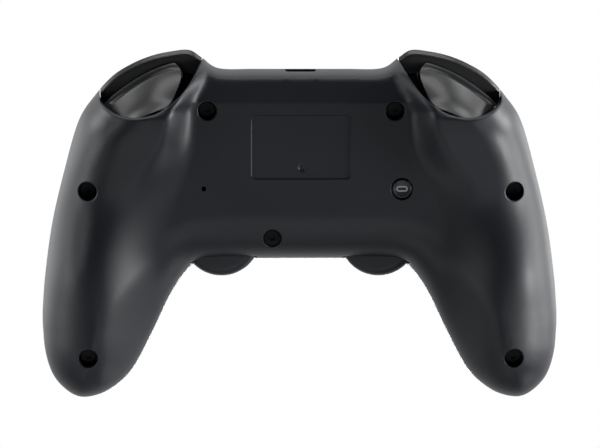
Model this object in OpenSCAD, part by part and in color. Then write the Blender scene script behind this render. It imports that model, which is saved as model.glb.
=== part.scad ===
// Two-handed gamepad, lying face up on its grips and trigger pods.
// X runs to the player's right, Y away from the player, Z up out of the face.
// Inside the modules Y is measured from the grip ends, and placed() moves it to the frame's origin.

/* [Case] */
// Width across both grips
body_w = 160; // [152:1:172]
// Depth from the grip ends to the top edge
case_d = 101.5; // [98:0.5:108]
// Depth of the middle of the body, from its lower edge to the top edge
body_d = 59; // [57:0.5:62]
// Height of the parting line above the table
part_z = 24; // [23:0.25:26]
// Height of the flat rear panel above the table
panel_z = 9; // [7.5:0.25:10]
// Height of the face above the parting line
face_h = 11; // [10.5:0.25:12.5]
// Wall of both housings
wall = 2.2; // [1.8:0.1:2.6]
// Gap between the two housings along the parting line
seam = 0.2; // [0.1:0.05:0.4]
// Fall of the parting line towards the grip ends
grip_drop = 10; // [8:0.5:12]
// Edge radius of the underside
back_r = 15; // [12:0.5:17]
// Edge radius of the face
face_r = 9; // [7:0.5:11]
// Depth of the slanted band along the top of the rear panel
band_d = 8.8; // [6:0.2:11]
// Rise of that band at the top edge
band_rise = 4; // [2:0.25:6]
// Clearance between pieces that move past each other
gap = 0.4; // [0.3:0.05:0.6]

/* [Rear panel] */
// Width of the recessed plate
plate_w = 31; // [26:0.5:34]
// Height of the recessed plate
plate_h = 20; // [16:0.5:22]
// Depth of the recessed plate
plate_t = 0.5; // [0.3:0.1:0.8]
// Diameter of the reset pinhole
pinhole_d = 1.4; // [1:0.1:2]
// Diameter of the round rear button
rear_button_d = 5.8; // [5:0.1:6.6]
// Travel of the rear button
rear_travel = 0.5; // [0.3:0.05:0.6]

/* [Screws] */
// Diameter of the screw recess
recess_d = 5.8; // [5.2:0.1:6.2]
// Diameter of the screw shank
shank_d = 2.2; // [1.8:0.1:2.6]
// Diameter of the screw head
head_d = 4.6; // [4:0.1:5]
// Height of the screw head
head_h = 1.6; // [1.2:0.1:2]
// Thickness of the shelf under the screw head
shelf_t = 3; // [2:0.25:4]

/* [Triggers] */
// Angle of the triggers in plan
trigger_yaw = 25; // [20:1:28]
// Width of a trigger along its top edge
trigger_w = 24; // [22:0.5:25]
// Width of a trigger at its tip
trigger_tip_w = 11; // [9:0.5:13]
// Diameter of the trigger pin
pin_d = 2; // [1.6:0.1:2.2]
// Radial running clearance on pins and shafts
fit = 0.05; // [0.03:0.01:0.1]
// Wire of the trigger's return spring
spring_wire = 0.6; // [0.5:0.05:0.7]
// Turns of the trigger's return spring
spring_turns = 4; // [3:1:4]

/* [Bumpers] */
// Depth of a bumper behind its outer edge
bumper_d = 7; // [6:0.25:8]
// Clearance round a bumper
bumper_gap = 0.9; // [0.8:0.05:1.2]

/* [Sticks] */
// Distance between the two thumbsticks
stick_pitch = 48.8; // [47:0.2:51]
// Outer radius of a stick well
well_r = 12.2; // [12:0.1:12.6]
// Diameter of a thumbstick cap
cap_d = 17; // [15:0.5:18]
// Height of a thumbstick cap above the face
cap_h = 13; // [12:0.5:15]
// Radius of the dome under a thumbstick cap
dome_r = 9.9; // [9.6:0.05:10.1]

/* [Buttons] */
// Distance of each button group from the side of the case
group_x = 32; // [31:0.25:33]
// Distance of a button from the middle of its group
button_pitch = 11; // [10.5:0.1:11.5]
// Diameter of an action button
button_d = 9.2; // [8.4:0.1:9.6]
// Height of the buttons above the face
button_h = 2.5; // [1.8:0.1:3]
// Travel of the action buttons and direction keys
button_travel = 1.5; // [1:0.1:1.7]
// Width of the touch pad
pad_w = 48; // [42:0.5:49]
// Depth of the touch pad
pad_d = 22; // [19:0.5:22]
// Diameter of the home button
home_d = 8.2; // [7.4:0.1:8.6]

/* [Inside] */
// Thickness of the main board
board_t = 1.6; // [1.2:0.1:1.8]
// Width of the battery
battery_w = 40; // [34:0.5:41]
// Depth of the battery
battery_d = 29; // [24:0.5:30]
// Thickness of the battery
battery_t = 5; // [4:0.25:5.2]
// Diameter of a rumble motor
motor_d = 16; // [14:0.5:17]
// Length of a rumble motor
motor_l = 13; // [11:0.5:14]
// Bore of the headset socket
jack_d = 3.6; // [3.5:0.05:3.8]
// Depth of the headset socket
jack_depth = 13; // [12:0.5:13.5]
// Width of the charging socket
usb_w = 8.9; // [8:0.1:9.2]
// Height of the charging socket
usb_h = 3.2; // [2.6:0.1:3.3]

/* [Hidden] */
$fn = 48;
e = 0.01;

// Derived heights and places
half_w = body_w / 2;
top_y = case_d;
edge_y = case_d - body_d;
face_z = part_z + face_h;
face_in_z = face_z - wall;
panel_in_z = panel_z + wall;
board_z = part_z - 1.8;
board_top_z = board_z + board_t;
board_y1 = top_y - 17;
bend_y = edge_y + 8.5;
bumper_rise = 5.96;
grip_end_y = 0.43;
origin_y = (top_y + bumper_rise + grip_end_y) / 2;

// Places that keep their share of the case's width
crease_x = 0.4125 * half_w;
bumper_x0 = 0.382 * half_w;
bumper_x1 = 0.775 * half_w;

// Waist of the underside between grip and trigger pod, and how softly panel and pods meet
waist_z = 5;
waist_y = top_y - 39.5;
waist_l = 16;
belly = 0.195;
pod_low = 20;
pod_high = 9;
crease_lean = 6;
crease_run = 11;
crease_out = 10;
crease_bend_y = top_y - 20;
grip_round = 5;
grip_round_l = 20;
blend_low_y = top_y - 42;
blend_high_y = top_y - 12;
sharp_r = 2;
sharp_low_y = top_y - 32;
sharp_high_y = top_y - 14;
sharp_x0 = crease_x - 6;
sharp_x1 = crease_x + 3;

// Places of the screws: top pair, side pair, lower one, grip ends
top_screw = [0.3625 * half_w, top_y - 11.5];
side_screw = [half_w - 14.1, top_y - 36.3];
low_screw = [8.8, edge_y + 7.6];
grip_screw = [half_w - 14.3, 14];
SCREWS = [top_screw, mx(top_screw), side_screw, mx(side_screw), low_screw, grip_screw, mx(grip_screw)];
tube_r = recess_d / 2 + 1.5;
boss_r = shank_d / 2 + 1.2;
tube_fall = 6.6;

// Tray round the battery
tray_wall = 1.2;
tray_gap = 0.3;
tray_h = 6;
tray_y = top_y - 28;
tray_z = panel_in_z + 0.1;
tray_w = battery_w + 2 * (tray_wall + tray_gap);
tray_d = battery_d + 2 * (tray_wall + tray_gap);
finger_w = 9;

// Half outline of the case as stations from the middle to the side:
// share of the half width, share of the lower edge's depth, share of the case's depth
STATIONS = [[0, 1, 1], [0.175, 1, 1], [0.315, 0.997, 1.002], [0.38, 0.985, 1.034], [0.43, 0.935, 1.058],
    [0.5, 0.75, 1.054], [0.575, 0.465, 1.041], [0.65, 0.21, 1.017], [0.725, 0.078, 0.98],
    [0.795, 0.019, 0.92], [0.86, 0.012, 0.84], [0.918, 0.075, 0.68], [0.963, 0.18, 0.525],
    [0.99, 0.34, 0.37], [1, 0.54, 0.265]];
station_end = len(STATIONS) - 1;
half_rows = 21;
columns = 16;

function mx(p) = [-p[0], p[1]];
function mix(a, b, t) = a + (b - a) * t;
function clamp01(t) = max(0, min(1, t));
function ease(x, a, b) = let (t = clamp01((x - a) / (b - a))) t * t * (3 - 2 * t);
function quarter(u) = let (t = clamp01(u)) sqrt(1 - (1 - t) * (1 - t));

// Smooth curve through the stations, as [x, lower y, upper y]
function station(i) = i < 0 ? let (p = STATIONS[-i]) [-p[0], p[1], p[2]]
    : i > station_end ? 2 * STATIONS[station_end] - STATIONS[station_end - 1] : STATIONS[i];
function shares(k) = let (i = min(floor(k), station_end - 1), t = k - i,
    a = station(i - 1), b = station(i), c = station(i + 1), d = station(i + 2))
    0.5 * (2 * b + (c - a) * t + (2 * a - 5 * b + 4 * c - d) * t * t + (3 * b - a - 3 * c + d) * t * t * t);
function section(k) = let (p = shares(k)) [p[0] * half_w, p[1] * edge_y, p[2] * top_y];
function low_point(k) = let (p = section(k)) [p[0], p[1]];
function high_point(k) = let (p = section(k)) [p[0], p[2]];
function row_station(i) = station_end * i / half_rows;

// Point of an edge curve moved into the case by a wall
function tangent(k, high) = high ? high_point(min(k + 0.05, station_end)) - high_point(k - 0.05)
    : low_point(min(k + 0.05, station_end)) - low_point(k - 0.05);
function inset(k, high, t) = let (g = tangent(k, high), n = [-g[1], g[0]] / norm(g), s = high ? -1 : 1)
    (high ? high_point(k) : low_point(k)) + s * t * (k >= station_end ? [-s, 0] : n);

// Upper edge of the case at a given x, by halving the range of stations
function upper_y(x, a = 0, b = station_end, n = 18) = n == 0 ? section((a + b) / 2)[2]
    : section((a + b) / 2)[0] < x ? upper_y(x, (a + b) / 2, b, n - 1) : upper_y(x, a, (a + b) / 2, n - 1);

// Half outline as one chain of points, and the distance of a point from it
function half_outline() = concat([for (i = [0:half_rows]) low_point(row_station(i))],
    [for (i = [half_rows:-1:0]) high_point(row_station(i))]);
function to_segment(p, a, b) = let (d = b - a, t = clamp01((p - a) * d / max(e, d * d))) norm(p - a - t * d);
function edge_distance(p, chain) = min([for (i = [0:len(chain) - 2]) to_segment(p, chain[i], chain[i + 1])]);

// Heights of the parting line, the underside and the face
function parting(y) = part_z - grip_drop * pow(max(0, (bend_y - y) / bend_y), 1.6);
function crease(y) = crease_x - crease_lean * clamp01((y - top_y + crease_run) / crease_run)
    + crease_out * (1 - ease(y, edge_y, crease_bend_y));
function pod_share(x, y) = let (c = crease(y))
    ease(abs(x), c, c + mix(pod_low, pod_high, ease(y, blend_low_y, blend_high_y)));
function underside(x, y) = mix(panel_z + band_rise * max(0, (y - top_y + band_d) / band_d),
    waist_z * exp(-pow((y - waist_y) / waist_l, 2)) - belly, pod_share(x, y));
function back_radius(x, y) = back_r + grip_round * (1 - ease(y, edge_y - grip_round_l, edge_y))
    - (back_r - sharp_r) * ease(y, sharp_low_y, sharp_high_y) * (1 - ease(abs(x), sharp_x0, sharp_x1));
function back_z(x, y, d, t) = parting(y) - max(0, parting(y) - underside(x, y) - t)
    * quarter((d - t) / max(0.8, back_radius(x, y) - t));
function front_z(x, y, d, t) = parting(y) + (face_h - t) * quarter((d - t) / (face_r - t));

// Grid of points over the case, moved in by t, for the underside or the face
function column_share(j) = (1 - cos(180 * j / columns)) / 2;
function half_row(i, t, back, chain) = let (k = row_station(i), a = inset(k, false, t), b = inset(k, true, t))
    [for (j = [0:columns]) let (p = mix(a, b, column_share(j)),
        rim = j == 0 || j == columns || i == half_rows, d = rim ? t : max(t, edge_distance(p, chain)))
        [p[0], p[1], back ? back_z(p[0], p[1], d, t) - seam / 2 : front_z(p[0], p[1], d, t) + seam / 2]];
function mirrored(row) = [for (p = row) [-p[0], p[1], p[2]]];
function case_grid(t, back) = let (chain = half_outline(),
    rows = [for (i = [0:half_rows]) half_row(i, t, back, chain)])
    concat([for (i = [half_rows:-1:1]) mirrored(rows[i])], rows);

// Closed solid between an upper and a lower grid of points with the same counts
module slab(upper, lower) {
    n = len(upper);
    m = len(upper[0]);
    k = n * m;
    points = concat([for (r = upper) each r], [for (r = lower) each r]);
    function at(i, j) = i * m + j;
    function split(a, b, c, d, odd) = odd ? [[a, b, d], [b, c, d]] : [[a, b, c], [a, c, d]];
    sheet = [for (i = [0:n - 2], j = [0:m - 2])
        each split(at(i, j), at(i, j + 1), at(i + 1, j + 1), at(i + 1, j), 2 * i < n - 1)];
    under = [for (f = sheet) [f[2] + k, f[1] + k, f[0] + k]];
    ends = [for (j = [0:m - 2]) each concat(
        split(at(0, j + 1), at(0, j), at(0, j) + k, at(0, j + 1) + k, true),
        split(at(n - 1, j), at(n - 1, j + 1), at(n - 1, j + 1) + k, at(n - 1, j) + k, false))];
    sides = [for (i = [0:n - 2]) each concat(
        split(at(i, 0), at(i + 1, 0), at(i + 1, 0) + k, at(i, 0) + k, false),
        split(at(i + 1, m - 1), at(i, m - 1), at(i, m - 1) + k, at(i + 1, m - 1) + k, true))];
    polyhedron(points, concat(sheet, under, ends, sides), convexity = 10);
}

// Helpers that place and shape
module placed() translate([0, -origin_y, seam / 2]) children();
module sided(side) {
    if (side > 0) children();
    else mirror([1, 0, 0]) children();
}
module both() {
    children();
    mirror([1, 0, 0]) children();
}
module rod(a, b, r) {
    d = b - a;
    translate(a) rotate([0, acos(d[2] / norm(d)), atan2(d[1], d[0])]) cylinder(h = norm(d), r = r);
}
module post(p, z0, z1, r) translate([p[0], p[1], z0]) cylinder(h = z1 - z0, r = r);
module box(x0, x1, y0, y1, z0, z1) translate([x0, y0, z0]) cube([x1 - x0, y1 - y0, z1 - z0]);
module round_rect(w, h, r) {
    square([w - 2 * r, h], center = true);
    square([w, h - 2 * r], center = true);
    for (x = [-1, 1], y = [-1, 1]) translate([x * (w / 2 - r), y * (h / 2 - r)]) circle(r);
}

// Depth of the underside at a screw, and its slope there
function under_at(p) = back_z(p[0], p[1], edge_distance([abs(p[0]), p[1]], half_outline()), 0);
function slope_at(p) = [under_at(p + [1, 0]) - under_at(p - [1, 0]),
    under_at(p + [0, 1]) - under_at(p - [0, 1])] / 2;
function tube_top(p) = parting(p[1]) - tube_fall;
function head_z(p) = tube_top(p) - shelf_t;

// Screw tube on the inside of the rear housing, cut along the local slope inside the wall
module screw_tube(p) {
    s = slope_at(p);
    z = under_at(p) + wall / 2;
    difference() {
        post(p, z - 8, tube_top(p), tube_r);
        translate([p[0], p[1], z]) rotate([atan(s[1]), -atan(s[0]), 0])
            translate([-20, -20, -40]) cube([40, 40, 40]);
    }
}

// Plan of a trigger's bay from the trigger's middle: round under its tip, then up along its inner side
bay_edge = [[12.7, -1.6], [12.2, -2], [9, -4.1], [5.6, -5.2], [0.9, -5.6], [-4.4, -4.4], [-8.4, -2.1],
    [-13.7, 2.7]];
bay_end = 0.1;
bay_reach = 14;
module bay() {
    inner_x = bumper_x0 + bay_end;
    edge = [for (p = bay_edge) trigger_at + p];
    linear_extrude(part_z + 2) polygon(concat([[edge[0][0], top_y + bay_reach]], edge,
        [[inner_x, top_y + 2.6], [inner_x, top_y + bay_reach]]));
}

module rear_housing() color([0.11, 0.11, 0.12]) {
    difference() {
        union() {
            slab(case_grid(wall, true), case_grid(0, true));
            for (p = SCREWS) screw_tube(p);
            both() {
                for (y = [board_y1 - 2.5, board_y1 - 13.5])
                    post([board_post_x, y], panel_z + wall / 2, board_z - 0.1, board_post_r);
                for (y = [motor_y + 2.5, motor_y + motor_l - 2.5]) motor_cradle(y);
            }
        }
        for (p = SCREWS) {
            post(p, -1, head_z(p), recess_d / 2);
            post(p, -1, part_z, shank_d / 2 + 0.2);
        }
        both() translate([0, 0, -1]) bay();
        both() bumper_pocket(bumper_low_z - gap);
        translate([0, plate_y, panel_z - 5]) linear_extrude(5 - seam / 2 + plate_t)
            round_rect(plate_w, plate_h, 1.6);
        post(pinhole, 0, panel_in_z + 1, pinhole_d / 2);
        post(rear_button_at, 0, panel_in_z + 1, rear_button_d / 2 + gap + 0.1);
        translate([0, top_y + 2, usb_z]) rotate([90, 0, 0]) linear_extrude(8)
            round_rect(usb_w + 0.6, usb_h + 0.5, 1.4);
        both() post(stick_at, well_z - gap, part_z + 3, well_r + gap);
    }
}
plate_y = top_y - band_d - 4 - plate_h / 2;
board_post_r = 2.2;
board_post_x = tray_w / 2 + board_post_r + 1.3;
marks_y = top_y - 35.7;
pinhole = [0.37625 * half_w, marks_y];
rear_button_at = [-0.39 * half_w, marks_y];

// Saddle under a rumble motor, standing on the grip's floor
module motor_cradle(y) difference() {
    box(motor_x - 6, motor_x + 6, y - 0.8, y + 0.8, motor_floor, motor_z - 2);
    translate([motor_x, y - 2, motor_z]) rotate([-90, 0, 0]) cylinder(h = 4, r = motor_d / 2 + 0.2);
}
motor_x = half_w - 17.5;
motor_y = 26;
motor_z = 14.5;
motor_floor = max([for (x = [-6, 6], y = [0, motor_l]) under_at([motor_x + x, motor_y + y])]) + wall / 2;

// Stick wells, open to the face
stick_at = [stick_pitch / 2, edge_y + 7];
well_z = part_z - 6;
well_wall = 1.6;
well_floor_z = well_z + well_wall;
well_in_r = well_r - well_wall;
module well_cup() translate([stick_at[0], stick_at[1], well_z]) rotate_extrude()
    polygon(concat([[0, 0]], [for (a = [-90:15:0]) [well_r - 3 + 3 * cos(a), 3 + 3 * sin(a)]],
        [[well_r, face_z - well_z - 1], [well_r - 1, face_z - well_z], [0, face_z - well_z]]));
module well_space() post(stick_at, well_floor_z, face_z + 2, well_in_r);

module front_housing() color([0.1, 0.1, 0.11]) {
    difference() {
        union() {
            slab(case_grid(0, false), case_grid(wall, false));
            both() well_cup();
            for (p = SCREWS) post(p, tube_top(p) + seam, parting(p[1]) + face_h - 1, boss_r);
            both() {
                post(bumper_pivot, bumper_boss_z + gap, face_z - 1, 2.2);
                box(switch_x - 3, switch_x + 3, switch_y - 1.5, switch_y, part_z + 0.6, face_in_z + 0.5);
            }
        }
        both() well_space();
        for (p = SCREWS) post(p, tube_top(p) - 1, tube_top(p) + 9, shank_d / 2 + 0.02);
        both() bumper_pocket(part_z - 1);
        both() post(bumper_pivot, bumper_boss_z, bumper_boss_z + 3, pin_d / 2 + 0.02);
        for (p = action_places) post(p, part_z + 2, face_z + 2, button_d / 2 + gap);
        for (p = key_places) translate([p[0], p[1], part_z + 2]) linear_extrude(face_h + 2)
            round_rect(key_w + 2 * gap, key_w + 2 * gap, 2 + gap);
        both() translate([option_at[0], option_at[1], part_z + 2]) linear_extrude(face_h + 2)
            round_rect(option_w + 2 * gap, option_l + 2 * gap, option_w / 2 + gap - e);
        post(home_at, part_z + 2, face_z + 2, home_d / 2 + gap);
        translate([0, pad_y, part_z + 2]) linear_extrude(face_h + 2)
            round_rect(pad_w + 2 * gap, pad_d + 2 * gap, 3 + gap);
        rod([0, edge_y - 4, jack_z], [0, edge_y + 8, jack_z], jack_nose_r + 0.2);
    }
}

// The seven identical case screws
module housing_screws() color([0.05, 0.05, 0.055])
    for (p = SCREWS) difference() {
        union() {
            post(p, head_z(p) - head_h, head_z(p), head_d / 2);
            post(p, head_z(p) - e, tube_top(p) + 8, shank_d / 2);
        }
        post(p, head_z(p) - head_h - 1, head_z(p) - head_h + 1, 0.9);
    }

// Triggers, in their own frame: x along the bumper, y outwards
trigger_at = [(bumper_x0 + bumper_x1) / 2 + 3.22, top_y - 7.5];
trigger_top_z = part_z - 2.6;
tip_z = 5.4;
hinge = [-6.8, part_z - 5.8];
hub_r = pin_d / 2 + 1.1;
hub_w = 10;
arm_x = 3.4;
arm_w = 3.2;
module trigger_frame(side) sided(side)
    translate([trigger_at[0], trigger_at[1], 0]) rotate(-trigger_yaw) children();

// Blade of a trigger: a face that falls back to a hooked tip, a lens-shaped lip along its top edge,
// its inner end further out than its outer end, and a rounded flank at either end
blade_t = 2;
blade_rows = 12;
blade_columns = 14;
blade_top_y = 3.7;
blade_fall = 9.6;
lip = 1.2;
hook = 0.9;
skew = 1.5;
inner_crown = 2.4;
outer_crown = 0.6;
lean = 2.6;
function face_y(t) = blade_top_y - blade_fall * pow(t, 1.7) + hook * ease(t, 0.75, 1);
function lip_y(u, t) = lip * (1 - u * u) * (1 - ease(t, 0.03, 0.13));
function flank_y(u, t) = (u < 0 ? inner_crown : outer_crown) * pow(abs(u), 2.6)
    * mix(0.2, 1, ease(t, 0.02, 0.2)) * mix(1, 0.5, t);
function blade_z(t) = mix(trigger_top_z, tip_z, t);
function outer_x(t) = mix(trigger_w, trigger_tip_w, pow(t, 1.6)) / 2;
function inner_x(t) = -outer_x(t) - lean * sin(180 * sqrt(t));
function blade_point(u, t) = [mix(inner_x(t), outer_x(t), (u + 1) / 2),
    face_y(t) + lip_y(u, t) - skew * u * (1 - ease(t, 0, 1)) - flank_y(u, t), blade_z(t)];
function behind(u, t) = blade_t * [-0.3 * u, -mix(1, 0.7, t), 0.5 * t];
function blade_grid(back) = [for (i = [0:blade_rows]) [for (j = [blade_columns:-1:0])
    let (u = 2 * j / blade_columns - 1, t = pow(i / blade_rows, 1.3))
    blade_point(u, t) + (back ? behind(u, t) : [0, 0, 0])]];

// Space behind the blade, which the arms to the hub fill
module blade_shadow() rotate([90, 0, 90]) translate([0, 0, -trigger_w]) linear_extrude(2 * trigger_w)
    polygon(concat([for (t = [0:0.1:1]) [face_y(t) - blade_t / 2, blade_z(t)]],
        [[hinge[0] - 1, tip_z], [hinge[0] - 1, trigger_top_z]]));
module trigger() color([0.14, 0.14, 0.15]) difference() {
    union() {
        slab(blade_grid(false), blade_grid(true));
        for (x = [-arm_x, arm_x]) intersection() {
            box(x - arm_w / 2, x + arm_w / 2, hinge[0], blade_top_y,
                hinge[1] - hub_r - 0.9, hinge[1] + hub_r);
            blade_shadow();
        }
        rod([-hub_w / 2, hinge[0], hinge[1]], [hub_w / 2, hinge[0], hinge[1]], hub_r);
    }
    rod([-hub_w, hinge[0], hinge[1]], [hub_w, hinge[0], hinge[1]], pin_d / 2 + fit);
    box(-spring_l / 2 - 0.3, spring_l / 2 + 0.3, hinge[0] - 4, hinge[0] + 4, hinge[1] - 4, hinge[1] + 4);
}
module left_trigger() trigger_frame(-1) trigger();
module right_trigger() trigger_frame(1) trigger();

// Brackets under the board that carry the trigger pins
bracket_in = hub_w / 2 + gap;
bracket_out = bracket_in + 1.5;
bracket_top_z = board_z - 0.2;
module trigger_bracket() color([0.3, 0.3, 0.32]) difference() {
    union() {
        for (x = [bracket_in, -bracket_out])
            box(x, x + 1.5, hinge[0] - 2.4, hinge[0] + 2.4, hinge[1] - 2.4, bracket_top_z);
        box(-bracket_out, bracket_out, hinge[0] - 2.4, hinge[0] + 2.4, hinge[1] + hub_r + 0.3, bracket_top_z);
    }
    rod([-12, hinge[0], hinge[1]], [12, hinge[0], hinge[1]], pin_d / 2 + 0.01);
}
module left_trigger_bracket() trigger_frame(-1) trigger_bracket();
module right_trigger_bracket() trigger_frame(1) trigger_bracket();
module trigger_pins() color("silver") for (side = [-1, 1]) trigger_frame(side)
    rod([-bracket_out - 0.5, hinge[0], hinge[1]], [bracket_out + 0.5, hinge[0], hinge[1]], pin_d / 2);

// Return springs: one unbroken wire wound round the pin, between the two halves of the hub
spring_r = pin_d / 2 + 0.3 + spring_wire / 2;
spring_pitch = spring_wire + 0.45;
spring_l = spring_turns * spring_pitch + spring_wire;
spring_rings = 12;
function spring_point(i) = let (a = 360 * i / spring_rings)
    [spring_pitch * (i / spring_rings - spring_turns / 2),
        hinge[0] + spring_r * cos(a), hinge[1] + spring_r * sin(a)];
module trigger_spring() {
    n = spring_turns * spring_rings;
    sides = 6;
    rings = [for (i = [0:n]) let (p = spring_point(i), a = 360 * i / spring_rings, o = [0, cos(a), sin(a)])
        [for (s = [0:sides - 1]) let (b = 360 * s / sides)
            p + spring_wire / 2 * (cos(b) * o + sin(b) * [1, 0, 0])]];
    walls = [for (i = [0:n - 1], s = [0:sides - 1]) let (q = (s + 1) % sides, a = i * sides, b = a + sides)
        each [[a + s, b + s, b + q], [a + s, b + q, a + q]]];
    caps = [for (s = [1:sides - 2]) each [[0, s, s + 1], [n * sides, n * sides + s + 1, n * sides + s]]];
    polyhedron([for (r = rings) each r], concat(walls, caps), convexity = 10);
}
module trigger_springs() color("lightgray") for (side = [-1, 1]) trigger_frame(side) trigger_spring();

// Bumpers follow the upper edge of the case and turn on a pin near their outer ends
bumper_low_z = part_z - 1.5;
bumper_pivot = [bumper_x1 - 3.5, top_y - 13.5];
bumper_boss_z = part_z + 6.4;
bumper_steps = 12;
bumper_bevel = 1.3;
bumper_bevel_d = 1.6;
function bumper_x(i) = mix(bumper_x0, bumper_x1, i / bumper_steps);
function bumper_depth(j) = bumper_d * (1 - cos(90 * j / 6));
function bumper_low(j) = bumper_low_z + bumper_bevel * max(0, 1 - bumper_depth(j) / bumper_bevel_d);
function bumper_grid(chain) = [for (i = [0:bumper_steps]) let (x = bumper_x(i), y1 = upper_y(x))
    [for (j = [6:-1:0]) let (y = y1 - bumper_depth(j), d = j == 0 ? 0 : edge_distance([x, y], chain))
        [x, y, front_z(x, y, d, 0) + seam / 2]]];
module bumper_pocket(z0) {
    back = [for (i = [0:bumper_steps])
        let (x = mix(bumper_x0 - bumper_gap, bumper_x1 + gap, i / bumper_steps))
        [x, upper_y(x) - bumper_d - bumper_gap]];
    translate([0, 0, z0]) linear_extrude(face_h + 8)
        polygon(concat([[bumper_x0 - bumper_gap, top_y + 12]], back, [[bumper_x1 + gap, top_y + 12]]));
}
switch_x = bumper_x0 + 7.44;
switch_y = top_y - 9;
module bumper() color([0.13, 0.13, 0.14]) {
    upper = bumper_grid(half_outline());
    difference() {
        union() {
            slab(upper, [for (r = upper) [for (j = [0:6]) [r[j][0], r[j][1], bumper_low(6 - j)]]]);
            box(bumper_pivot[0] - 1.5, bumper_pivot[0] + 1.5,
                bumper_pivot[1], upper_y(bumper_pivot[0]) - bumper_d + 1, part_z + 0.8, bumper_boss_z);
            post(bumper_pivot, part_z + 0.8, bumper_boss_z, 2.2);
            box(switch_x - 1.5, switch_x + 1.5,
                switch_y + 3.9, upper_y(switch_x) - bumper_d + 1, part_z + 1, part_z + 5);
        }
        post(bumper_pivot, part_z, bumper_boss_z + 1, pin_d / 2 + fit);
    }
}
module left_bumper() sided(-1) bumper();
module right_bumper() sided(1) bumper();
module bumper_pins() color("silver") both() post(bumper_pivot, part_z + 0.4, bumper_boss_z + 2.9, pin_d / 2);
module bumper_switches() color("dimgray") both() {
    box(switch_x - 2, switch_x + 2, switch_y + 0.05, switch_y + 2, part_z + 1, part_z + 5);
    rod([switch_x, switch_y + 1.9, part_z + 3], [switch_x, switch_y + 2.8, part_z + 3], 1);
}

// Main board, with lobes under the buttons and tongues to the two sockets
module main_board() color("darkgreen") translate([0, 0, board_z]) linear_extrude(board_t) {
    translate([-board_half, board_y0]) square([2 * board_half, board_y1 - board_y0]);
    for (p = [action_places[1], key_places[1]]) {
        translate(p) circle(lobe_r);
        translate([p[0] - lobe_r, p[1]]) square([2 * lobe_r, board_y0 - p[1] + 1]);
    }
    translate([-tongue_w / 2, board_y1 - 1]) square([tongue_w, top_y - wall - 2.3 - board_y1 + 1]);
    translate([-jack_tongue_w / 2, jack_y + 2.5]) square([jack_tongue_w, board_y0 - jack_y - 2]);
}
board_half = half_w - 18;
board_y0 = stick_at[1] + well_r + 0.8;
mat_r = 5;
lobe_r = mat_r + 0.3;
tongue_w = 40;
jack_tongue_w = 11;

// Battery in its tray on the rear panel
module battery_tray() color([0.2, 0.2, 0.21]) translate([0, tray_y, tray_z]) difference() {
    linear_extrude(tray_h) round_rect(tray_w, tray_d, 3);
    translate([0, 0, tray_wall]) linear_extrude(tray_h)
        round_rect(tray_w - 2 * tray_wall, tray_d - 2 * tray_wall, 3 - tray_wall);
    for (x = [-1, 1]) translate([x * battery_w / 4, 0, tray_wall + tray_h / 2])
        cube([finger_w, 2 * tray_d, tray_h], center = true);
}
module battery() color([0.25, 0.3, 0.4])
    translate([0, tray_y, tray_z + tray_wall + 0.1]) linear_extrude(battery_t)
        round_rect(battery_w, battery_d, 2);

// Rumble motors along the grips, each with an off-centre weight
weight_l = 6;
module rumble_motor() color("silver") difference() {
    rod([motor_x, motor_y, motor_z], [motor_x, motor_y + motor_l, motor_z], motor_d / 2);
    rod([motor_x, motor_y - 1, motor_z], [motor_x, motor_y + 8, motor_z], 1 + fit);
}
module rumble_weight() color([0.45, 0.42, 0.38]) {
    rod([motor_x, motor_y - weight_l - 0.6, motor_z], [motor_x, motor_y + 7.8, motor_z], 1);
    difference() {
        rod([motor_x, motor_y - weight_l - 0.6, motor_z], [motor_x, motor_y - 0.6, motor_z],
            motor_d / 2 + 0.5);
        box(motor_x - 20, motor_x + 20, motor_y - 20, motor_y + 5, motor_z + 1.4, motor_z + 20);
    }
}
module left_rumble_motor() sided(-1) rumble_motor();
module right_rumble_motor() sided(1) rumble_motor();
module left_rumble_weight() sided(-1) rumble_weight();
module right_rumble_weight() sided(1) rumble_weight();

// Sticks: module in the well, yoke on trunnions along X, shaft on a cross pin along Y, cap on the shaft
pivot_z = part_z + 1.5;
trunnion_r = 1.2;
cross_r = 0.8;
shaft_r = 1.5;
module at_stick(side) sided(side) translate([stick_at[0], stick_at[1], 0]) children();
module stick_module() color([0.18, 0.18, 0.19]) difference() {
    union() {
        box(-6.5, 6.5, -6.5, 6.5, well_floor_z + 0.1, pivot_z - 1.6);
        box(-6.5, 6.5, -3, 3, pivot_z - 1.7, pivot_z + 2.1);
    }
    box(-4.7, 4.7, -4.6, 4.6, well_floor_z + 1.4, pivot_z + 5);
    rod([-10, 0, pivot_z], [10, 0, pivot_z], trunnion_r + fit);
}
module stick_yoke() color("gainsboro") difference() {
    union() {
        box(-4.2, 4.2, -3.4, 3.4, pivot_z - 1.5, pivot_z + 1.5);
        rod([-6.3, 0, pivot_z], [6.3, 0, pivot_z], trunnion_r);
    }
    box(-3.3, 3.3, -1.9, 1.9, pivot_z - 4, pivot_z + 4);
    rod([0, -5, pivot_z], [0, 5, pivot_z], cross_r + fit);
}
module stick_shaft() color("whitesmoke") {
    post([0, 0], pivot_z - 2.2, face_z + cap_h - 4, shaft_r);
    rod([0, -3.3, pivot_z], [0, 3.3, pivot_z], cross_r);
}
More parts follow.
